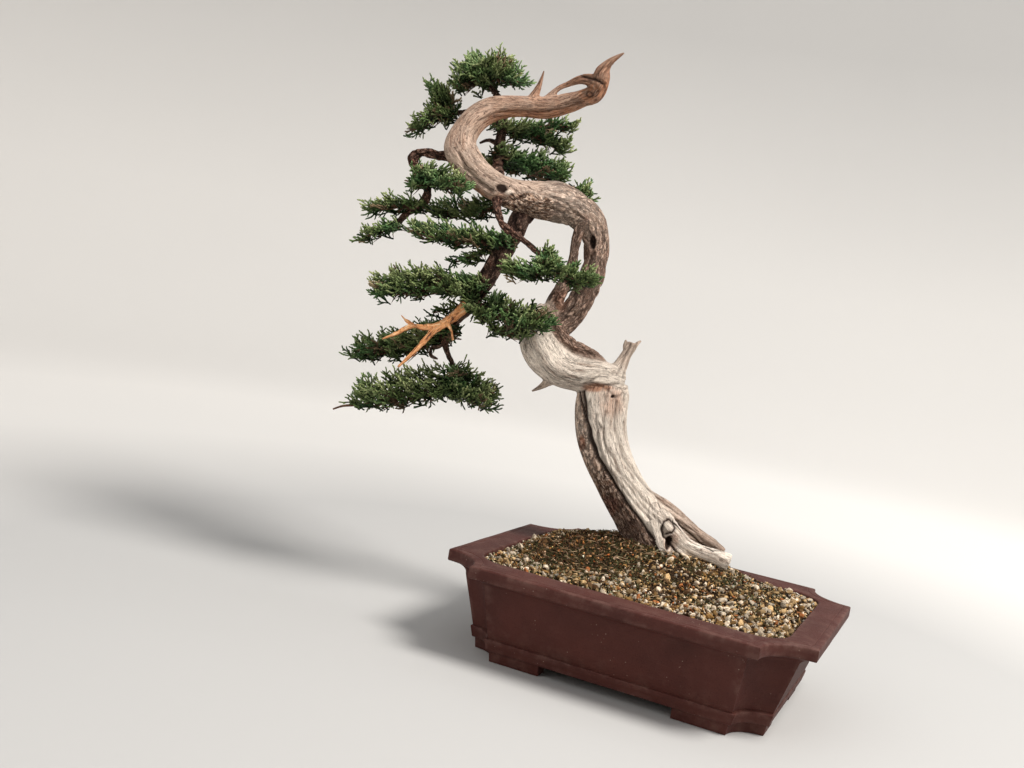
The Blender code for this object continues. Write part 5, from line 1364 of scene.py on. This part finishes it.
def pot_sections():
    """The pot's sections from its underside up, over the rim and down inside: ring, height, wear, dust."""
    band_top = FOOT_HEIGHT + BAND_HEIGHT
    wall_low, wall_top = band_top + WALL_GAP, POT_HEIGHT - RIM_EDGE - COVE_HEIGHT
    band_inset = BODY_INSET - BAND_PROUD
    rows = []

    def add(inset, notch, height, worn, dust):
        rows.append((outer_ring(inset, notch), height, worn, dust))

    def add_edge(inset, notch, height, radius, upper, worn, dust):
        """Rings round an edge: a lower one that comes outward, or an upper one that goes back in."""
        for step in range(EDGE_STEPS + 1):
            angle = 0.5 * math.pi * step / EDGE_STEPS
            early, late = radius * (1 - math.sin(angle)), radius * (1 - math.cos(angle))
            if upper:
                add(inset + late, notch, height - early, worn, dust)
            else:
                add(inset + early, notch, height + late, worn, dust)

    def add_wall(height, dust):
        share = (height - FOOT_HEIGHT) / (wall_top - FOOT_HEIGHT)
        notch = BODY_NOTCH + share * (RIM_NOTCH - COVE_NOTCH_LESS - BODY_NOTCH)
        add(BODY_INSET + share * (COVE_REACH - BODY_INSET), notch, height, 0.0, dust)

    add(band_inset + BASE_INSET, BODY_NOTCH, FOOT_HEIGHT, 0.0, 0.0)
    add_edge(band_inset, BODY_NOTCH, FOOT_HEIGHT, ROUND_BAND, False, 0.5, 0.3)
    add(band_inset - BAND_SLOPE * 0.5, BODY_NOTCH, FOOT_HEIGHT + BAND_HEIGHT * 0.5, 0.0, 0.2)
    add_edge(band_inset - BAND_SLOPE, BODY_NOTCH, band_top, ROUND_BAND, True, 0.75, 0.4)
    add_wall(wall_low, 0.9)
    for step in range(1, WALL_STEPS + 1):
        add_wall(wall_low + (wall_top - wall_low) * step / WALL_STEPS, max(0.5 - 0.15 * step, 0.0))
    for step in range(1, COVE_STEPS):
        angle = 0.5 * math.pi * step / COVE_STEPS
        notch = RIM_NOTCH - COVE_NOTCH_LESS * (COVE_STEPS - step) / COVE_STEPS
        add(COVE_REACH * math.cos(angle), notch, wall_top + COVE_HEIGHT * math.sin(angle), 0.0, 0.1)
    add_edge(0.0, RIM_NOTCH, POT_HEIGHT - RIM_EDGE, ROUND_LIP, False, 0.7, 0.0)
    add(0.0, RIM_NOTCH, POT_HEIGHT - RIM_EDGE / 2, 0.15, 0.1)
    add_edge(0.0, RIM_NOTCH, POT_HEIGHT, ROUND_LIP, True, 1.0, 0.1)
    for shift, drop, worn in LINE_ROWS:
        add(LINE_INSET + shift * LINE_HALF_WIDTH, RIM_NOTCH, POT_HEIGHT - drop * LINE_DEPTH, worn, 0.2)
    for share in (0.25, 0.55, 0.85):
        ring = outer_ring(LINE_INSET + 0.002, RIM_NOTCH) * (1 - share) + inner_ring(1.0, -ROUND_LIP) * share
        rows.append((ring, POT_HEIGHT + 0.0002 * math.sin(math.pi * share), 0.15, 0.35 + 0.4 * share))
    for step in range(EDGE_STEPS + 1):
        angle = 0.5 * math.pi * step / EDGE_STEPS
        ring = inner_ring(1.0, -ROUND_LIP * (1 - math.sin(angle)))
        rows.append((ring, POT_HEIGHT - ROUND_LIP * (1 - math.cos(angle)), 0.6, 0.9))
    for share in (0.6, 0.0):
        rows.append((inner_ring(share), FLOOR_TOP + share * (POT_HEIGHT - FLOOR_TOP), 0.0, 0.9))
    return rows


def loft(name, rows, middles=None):
    """A closed solid through rings at their heights, with a middle point at each end."""
    points = [columns_of(ring[:, 0] + POT_CENTRE.x, ring[:, 1] + POT_CENTRE.y, height) for ring, height in rows]
    points += middles or [points[0].mean(axis=0), points[-1].mean(axis=0)]
    return array_mesh(name, np.vstack(points), *closed_faces(len(rows), len(rows[0][0])))


def cut(base, cutters, name):
    """The base with the cutters taken away, as a plain object."""
    for cutter in cutters:
        set_modifier(base, "BOOLEAN", operation="DIFFERENCE", solver="EXACT", object=cutter)
    made = evaluated(base, name)
    for cutter in cutters:
        bpy.data.objects.remove(cutter, do_unlink=True)
    return made


def make_feet():
    """Four corner feet that follow the notched corners, with eased edges."""
    top = FOOT_HEIGHT + FOOT_SUNK
    outer = BODY_INSET - BAND_PROUD + FOOT_INSET
    core = outer_ring(outer + FOOT_THICK, BODY_NOTCH)
    feet = loft(
        "feet", [(outer_ring(outer + FOOT_TAPER, BODY_NOTCH), 0.0), (outer_ring(outer, BODY_NOTCH), top)]
    )
    cutters = [loft("core", [(core, -CUT_PAST), (core, top + CUT_PAST)])]
    length, width = RIM_LENGTH - 2 * outer, RIM_WIDTH - 2 * outer
    for x, y in ((length / 2 - FOOT_LENGTH, width), (length, width / 2 - FOOT_LENGTH_SIDE)):
        box = np.array([(x, y), (-x, y), (-x, -y), (x, -y)])
        cutters.append(loft("gap", [(box, -2 * (top + CUT_PAST)), (box, 2 * (top + CUT_PAST))]))
    feet = cut(feet, cutters, "feet_cut")
    set_modifier(
        feet, "BEVEL", width=FOOT_BEVEL, segments=2, limit_method="ANGLE", angle_limit=math.radians(40)
    )
    return evaluated(feet, "feet_done")


def make_pot(material):
    """The pot: sections with fine corners and rounded edges, its feet and its drainage holes."""
    sections = pot_sections()
    count = len(sections[0][0])
    shell = loft("shell", [(ring, height) for ring, height, _, _ in sections])
    worn, dust = (np.repeat([row[k] for row in sections], count).reshape(-1, count) for k in (2, 3))
    outside = dust[:, 0] <= 0.85
    first = 0
    for steps in (LONG_STEPS, SHORT_STEPS, LONG_STEPS, SHORT_STEPS):
        for corner in (first, first + NOTCH_STEPS):
            worn[outside, corner] = np.maximum(worn[outside, corner], 0.9)
        first += NOTCH_STEPS + steps
    store(shell, "worn", np.concatenate([worn.ravel(), [0.0, 0.0]]))
    store(shell, "dust", np.concatenate([dust.ravel(), [0.2, 1.0]]))
    drains = []
    for side in (-1, 1):
        x, y = circle(DRAIN_SIDES)
        ring = np.column_stack([x * DRAIN_RADIUS + side * DRAIN_OFFSET, y * DRAIN_RADIUS])
        drains.append(loft("drain", [(ring, -CUT_PAST), (ring, FLOOR_TOP + CUT_PAST)]))
    shell = cut(shell, drains, "shell_cut")
    feet = make_feet()
    for key, value in (("worn", 0.45), ("dust", 0.35)):
        store(feet, key, np.full(len(feet.data.vertices), value))
    bpy.ops.object.select_all(action="DESELECT")
    feet.select_set(True)
    shell.select_set(True)
    bpy.context.view_layer.objects.active = shell
    bpy.ops.object.join()
    shell.name = "pot_ware"
    points, normals = mesh_points(shell)
    waver = POT_WAVER * rough_noise(points / 0.030, 5, 2) * smooth_step(0.001, 0.006, points[:, 2])
    move_points(shell, points + normals * waver[:, None])
    shell.data.materials.clear()
    shell.data.materials.append(material)
    shell.data.shade_smooth()
    shell.data.set_sharp_from_angle(angle=math.radians(50))
    return shell


def edge_distance(x, y):
    """How far places on the soil lie from the pot's opening, from the pot's centre."""
    half_x, half_y = OPENING_LENGTH / 2 - OPENING_ROUND, OPENING_WIDTH / 2 - OPENING_ROUND
    over_x, over_y = np.maximum(np.abs(x) - half_x, 0.0), np.maximum(np.abs(y) - half_y, 0.0)
    flat = np.minimum(half_x - np.abs(x), half_y - np.abs(y))
    return OPENING_ROUND + np.where((over_x > 0) | (over_y > 0), -np.hypot(over_x, over_y), flat)


def soil_height(x, y):
    """The soil's mounded surface, at places given from the pot's centre."""
    middle_x, middle_y, spread_x, spread_y = MOUND
    far = ((x - middle_x) / spread_x) ** 2 + ((y - middle_y) / spread_y) ** 2
    edge = np.clip(edge_distance(x, y) / SOIL_EDGE_FALL, 0.0, 1.0)
    return POT_HEIGHT - SOIL_BELOW_RIM + MOUND_HEIGHT * np.exp(-far) * (
        MOUND_AT_EDGE + (1 - MOUND_AT_EDGE) * edge
    )


def soil_place(x, y, above):
    """A point over the soil's surface."""
    return np.array([x + POT_CENTRE.x, y + POT_CENTRE.y, float(soil_height(x, y)) + above])


def mound_share(x, y):
    """1 on the dark mossy top of the mound, behind and to the left of the trunk."""
    middle_x, middle_y, spread_x, spread_y = DARK_MOUND
    far = np.hypot((x - middle_x) / spread_x, (y - middle_y) / spread_y)
    return 1 - smooth_step(0.7, 1.15, far + 0.25 * flat_noise(x, y, 0.012, 67, 2))


def moss_share(x, y):
    """Where moss grows: mostly on the mound, to the left and the back."""
    left = smooth_step(0.05, -0.07, x) * 0.35 + 0.12 * smooth_step(-0.02, 0.06, y)
    return np.maximum(smooth_step(0.06, 0.36, flat_noise(x, y, 0.022, 61, 3) + left), mound_share(x, y))


def make_bed(material):
    """The fine soil: rings that follow the opening, closed in to the middle, with a crumbly relief."""
    outline = inner_ring(1.0, BED_INSET)
    rows = [(inner_ring(0.0, BED_INSET), FLOOR_TOP + BED_GAP)]
    for i in range(BED_RINGS):
        ring = outline * (1 - i / BED_RINGS)
        x, y = ring.T
        relief = 0.0012 * flat_noise(x, y, 0.006, 3, 3) + 0.0010 * flat_noise(x, y, 0.025, 8, 2)
        relief *= smooth_step(0.0, 0.006, edge_distance(x, y))
        rows.append((ring, soil_height(x, y) - BED_GAP + relief))
    made = loft(
        "soil_fines", rows, [(POT_CENTRE.x, POT_CENTRE.y, FLOOR_TOP + BED_GAP), soil_place(0.0, 0.0, 0.0)]
    )
    flat = np.vstack([ring for ring, _ in rows] + [np.zeros((2, 2))])
    store(made, "moss", moss_share(*flat.T))
    made.data.materials.append(material)
    made.data.shade_smooth()
    return made


def stone_shape(level, seed):
    """A crushed grain's shape: a round one pushed flat in places."""
    bm = bmesh.new()
    bmesh.ops.create_icosphere(bm, subdivisions=level, radius=1.0)
    points = np.array([tuple(vertex.co) for vertex in bm.verts])
    triangles = np.array([[vertex.index for vertex in face.verts] for face in bm.faces])
    bm.free()
    chance = np.random.default_rng(seed)
    for _ in range(9):
        way = unit(chance.normal(size=3))
        points = points - np.maximum(points @ way - chance.uniform(0.42, 0.80), 0)[:, None] * way
    points += 0.16 * np.column_stack([soft_noise(points * 2.1 + 11 * k, seed + k) for k in range(3)])
    return points, triangles


def scatter_grains(name, pitch, sizes, column, level, seed, material, keep):
    """Loose grains over the soil, each a turned and stretched copy of a few shapes in one mesh."""
    chance = np.random.default_rng(seed)
    grid = np.meshgrid(*(np.arange(-size / 2, size / 2, pitch) for size in (OPENING_LENGTH, OPENING_WIDTH)))
    x, y = (value.ravel() + chance.uniform(0, pitch, value.size) for value in grid)
    size = chance.uniform(*sizes, len(x))
    inside = (edge_distance(x, y) > size * 0.75) & (chance.random(len(x)) < keep(x, y))
    x, y, size = x[inside], y[inside], size[inside]
    count = len(x)
    z = soil_height(x, y) + size * chance.uniform(-0.45, 0.60, count)
    place = np.column_stack([x + POT_CENTRE.x, y + POT_CENTRE.y, z])[:, None]
    turn = chance.normal(size=(count, 4))
    turn /= np.linalg.norm(turn, axis=1)[:, None]
    turn = turn[:, None]
    stretch = (size[:, None] * chance.uniform([1.00, 0.70, 0.42], [1.60, 1.10, 0.90], (count, 3)))[:, None]
    shapes = [stone_shape(level, seed + 100 + k) for k in range(6)]
    which = chance.integers(0, len(shapes), count)
    parts, owners = [], []
    for number, (shape, faces) in enumerate(shapes):
        mine = np.flatnonzero(which == number)
        local = shape[None] * stretch[mine]
        axis = turn[mine, :, 1:]
        turned = local + 2 * np.cross(axis, turn[mine, :, :1] * local + np.cross(axis, local))
        offsets = np.arange(len(mine))[:, None, None] * len(shape)
        parts.append(
            ((turned + place[mine]).reshape(-1, 3), np.zeros((0, 4), int), (faces + offsets).reshape(-1, 3))
        )
        owners.append(np.repeat(mine, len(shape)))
    shares = np.array([kind[column] for kind in GRAIN_KINDS])
    kinds = chance.choice(len(GRAIN_KINDS), count, p=shares / shares.sum())
    colours = np.array([kind[0] for kind in GRAIN_KINDS])[kinds] * chance.uniform(0.32, 1.22, (count, 1))
    mound = mound_share(x, y)
    clump = smooth_step(-0.35, 0.35, flat_noise(x, y, 0.007, 71, 2))
    shade = (1 - 0.35 * moss_share(x, y) * chance.random(count)) * (1 - mound * (0.05 + 0.80 * clump))
    lit = 1 + 1.3 * mound * (chance.random(count) > 0.72)
    colours *= (shade * lit)[:, None] * (1 - mound[:, None] * np.array([0.0, 0.22, 0.34]))
    made = array_mesh(name, *merge(parts))
    store(made, "tint", np.column_stack([np.clip(colours, 0, 1), np.ones(count)])[np.concatenate(owners)])
    made.data.materials.append(material)
    return made


def make_moss(material):
    """Short moss shoots in patches, and dry fibres that lie on the soil."""
    chance = np.random.default_rng(31)
    blades, fibres = Cords(), Cords()
    x, y = (chance.uniform(-size / 2, size / 2, MOSS_BLADES) for size in (OPENING_LENGTH, OPENING_WIDTH))
    keep = (edge_distance(x, y) > 0.003) & (chance.random(MOSS_BLADES) < moss_share(x, y) * 0.9)
    for px, py in zip(x[keep], y[keep]):
        foot = soil_place(px, py, -BED_GAP)
        lean = chance.normal(size=2) * 0.0015
        height = chance.uniform(0.0012, 0.0036)
        mound = float(mound_share(px, py)[0])
        dry = float(chance.random() < 0.30 + 0.35 * mound)
        radius = chance.uniform(0.00035, 0.0006)
        tone = chance.random() * (0.7 if dry else 1 - 0.5 * mound)
        middle = foot + np.array([*(lean * 0.3), height * 0.6])
        blades.add(foot, middle, foot + np.array([*lean, height]), radius, tone, dry)
    for _ in range(DRY_FIBRES):
        px, py = chance.normal(-0.02, 0.07), chance.normal(0.0, 0.05)
        if edge_distance(px, py) < 0.008:
            continue
        turn = chance.uniform(0, math.pi)
        reach = chance.uniform(0.002, 0.006)
        centre = soil_place(px, py, chance.uniform(0.0010, 0.0024))
        way = np.array([math.cos(turn) * reach, math.sin(turn) * reach, chance.uniform(-0.001, 0.001)])
        middle = centre + chance.normal(size=3) * 0.0008
        fibres.add(centre - way, middle, centre + way, chance.uniform(0.00020, 0.00046), chance.random(), 1.0)
    rows, quads, triangles = merge([blades.mesh(FORK_RINGS), fibres.mesh(FIBRE_RINGS)])
    made = array_mesh("soil_moss", rows[:, :3], quads, triangles)
    store(made, "tone", rows[:, 3])
    store(made, "brown", rows[:, 4])
    made.data.materials.append(material)
    made.data.shade_smooth()
    return made


def make_stage():
    """A round floor, grey near the pot and paler farther out, that curves up into a pale wall all round, darker
    towards its top. These greys are painted shade.
    """
    edge = FLOOR_RINGS[-1][0]
    # Paleness along the profile: painted shade near the pot and towards the top of the wall
    profile = [(radius, FLOOR_AT, share) for radius, share in FLOOR_RINGS]
    for step in range(1, CURVE_STEPS + 1):
        angle = 0.5 * math.pi * step / CURVE_STEPS
        height = WALL_CURVE * (1 - math.cos(angle))
        profile.append(
            (edge + WALL_CURVE * math.sin(angle), height, np.interp(height, WALL_HEIGHTS, WALL_PALE))
        )
    profile.append((edge + WALL_CURVE, WALL_TOP, WALL_TOP_PALE))
    x, y = circle(STAGE_SIDES)
    points = [columns_of(x * radius, y * radius, height, share) for radius, height, share in profile]
    rows = np.vstack([*points, (0.0, 0.0, FLOOR_AT, FLOOR_RINGS[0][1])])
    j, k = around(STAGE_SIDES)
    quads = ring_faces(len(profile), STAGE_SIDES)[:, ::-1]
    floor = array_mesh("pale_floor", rows[:, :3], quads, columns_of(len(rows) - 1, j, k))
    store(floor, "pale", rows[:, 3])
    floor.data.materials.append(stage_material())
    floor.data.shade_smooth()


def light_scene():
    """Soft daylight from the upper right and front, with a pale sky all round."""
    middle = POT_CENTRE + Vector(TREE_MIDDLE)
    right = Vector((RIGHT.x, RIGHT.y, 0)).normalized()
    ahead = Vector((FORWARD.x, FORWARD.y, 0)).normalized()
    for name, place, target, size, power, colour in LAMPS:
        place, target = (middle + right * x + ahead * y + Vector((0, 0, z)) for x, y, z in (place, target))
        data = bpy.data.lights.new(name, "AREA")
        data.shape = "DISK"
        data.size = size
        data.energy = power
        data.color = colour
        lamp = add_object(name, data)
        lamp.location = place
        lamp.rotation_mode = "QUATERNION"
        lamp.rotation_quaternion = (target - place).to_track_quat("-Z", "Y")
        lamp.visible_camera = False
    world = bpy.data.worlds.new("pale_sky")
    world.use_nodes = True
    background = world.node_tree.nodes["Background"]
    background.inputs["Color"].default_value = SKY
    background.inputs["Strength"].default_value = SKY_STRENGTH
    bpy.context.scene.world = world


def make_camera():
    """The picture's view of the object."""
    data = bpy.data.cameras.new("picture")
    data.lens = LENS
    data.sensor_width = SENSOR
    data.clip_start, data.clip_end = 0.05, 20.0
    camera = add_object("picture", data)
    turn = Matrix((RIGHT, UP, -FORWARD)).transposed()
    camera.matrix_world = Matrix.Translation(EYE) @ turn.to_4x4()
    bpy.context.scene.camera = camera
    bpy.context.scene.view_settings.view_transform = "Standard"


def fine_keep(x, y):
    """The share of fine grains kept at each place."""
    return 0.68 - 0.16 * mound_share(x, y)


def coarse_keep(x, y):
    """The share of coarse grains kept: most at the front and the right, none on the dark mound."""
    near = smooth_step(0.02, -0.08, y) * 0.55 + smooth_step(-0.02, 0.11, x) * 0.45
    return np.clip(0.16 + 0.70 * near, 0, 0.85) * (1 - mound_share(x, y))


def main():
    """Makes every piece, then what it stands on, its light and the camera."""
    place_piece(make_pot(pot_material()), "pot")
    place_piece(make_bed(bed_material()), "soil")
    material = grain_material()
    for row, keep in zip(GRAINS, (fine_keep, coarse_keep)):
        place_piece(scatter_grains(*row, material, keep), None)
    place_piece(make_moss(moss_material()), None)
    wood, bare = wood_material(), stripped_material()
    for number, (name, node, slot, voxel, lumps, *parts) in enumerate(WOODS):
        material = bare if slot == "stripped" else wood
        made = make_wood(name, node, voxel, lumps, parts, 100 * (number + 1), material)
        place_piece(made, node)
    leaf, twig = leaf_material(), twig_material()
    for number, (name, *boughs) in enumerate(SPRAYS):
        made = make_foliage("leaves_" + name, boughs, 500 + number, OPEN_SPRAYS.get(name, 1.0), leaf, twig)
        place_piece(made, "spray_" + name)
    plastic = plastic_material()
    for name in ("drain_mesh_left", "drain_mesh_right"):
        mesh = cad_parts[name]
        mesh.data.materials.clear()
        mesh.data.materials.append(plastic)
    make_stage()
    light_scene()
    make_camera()


main()
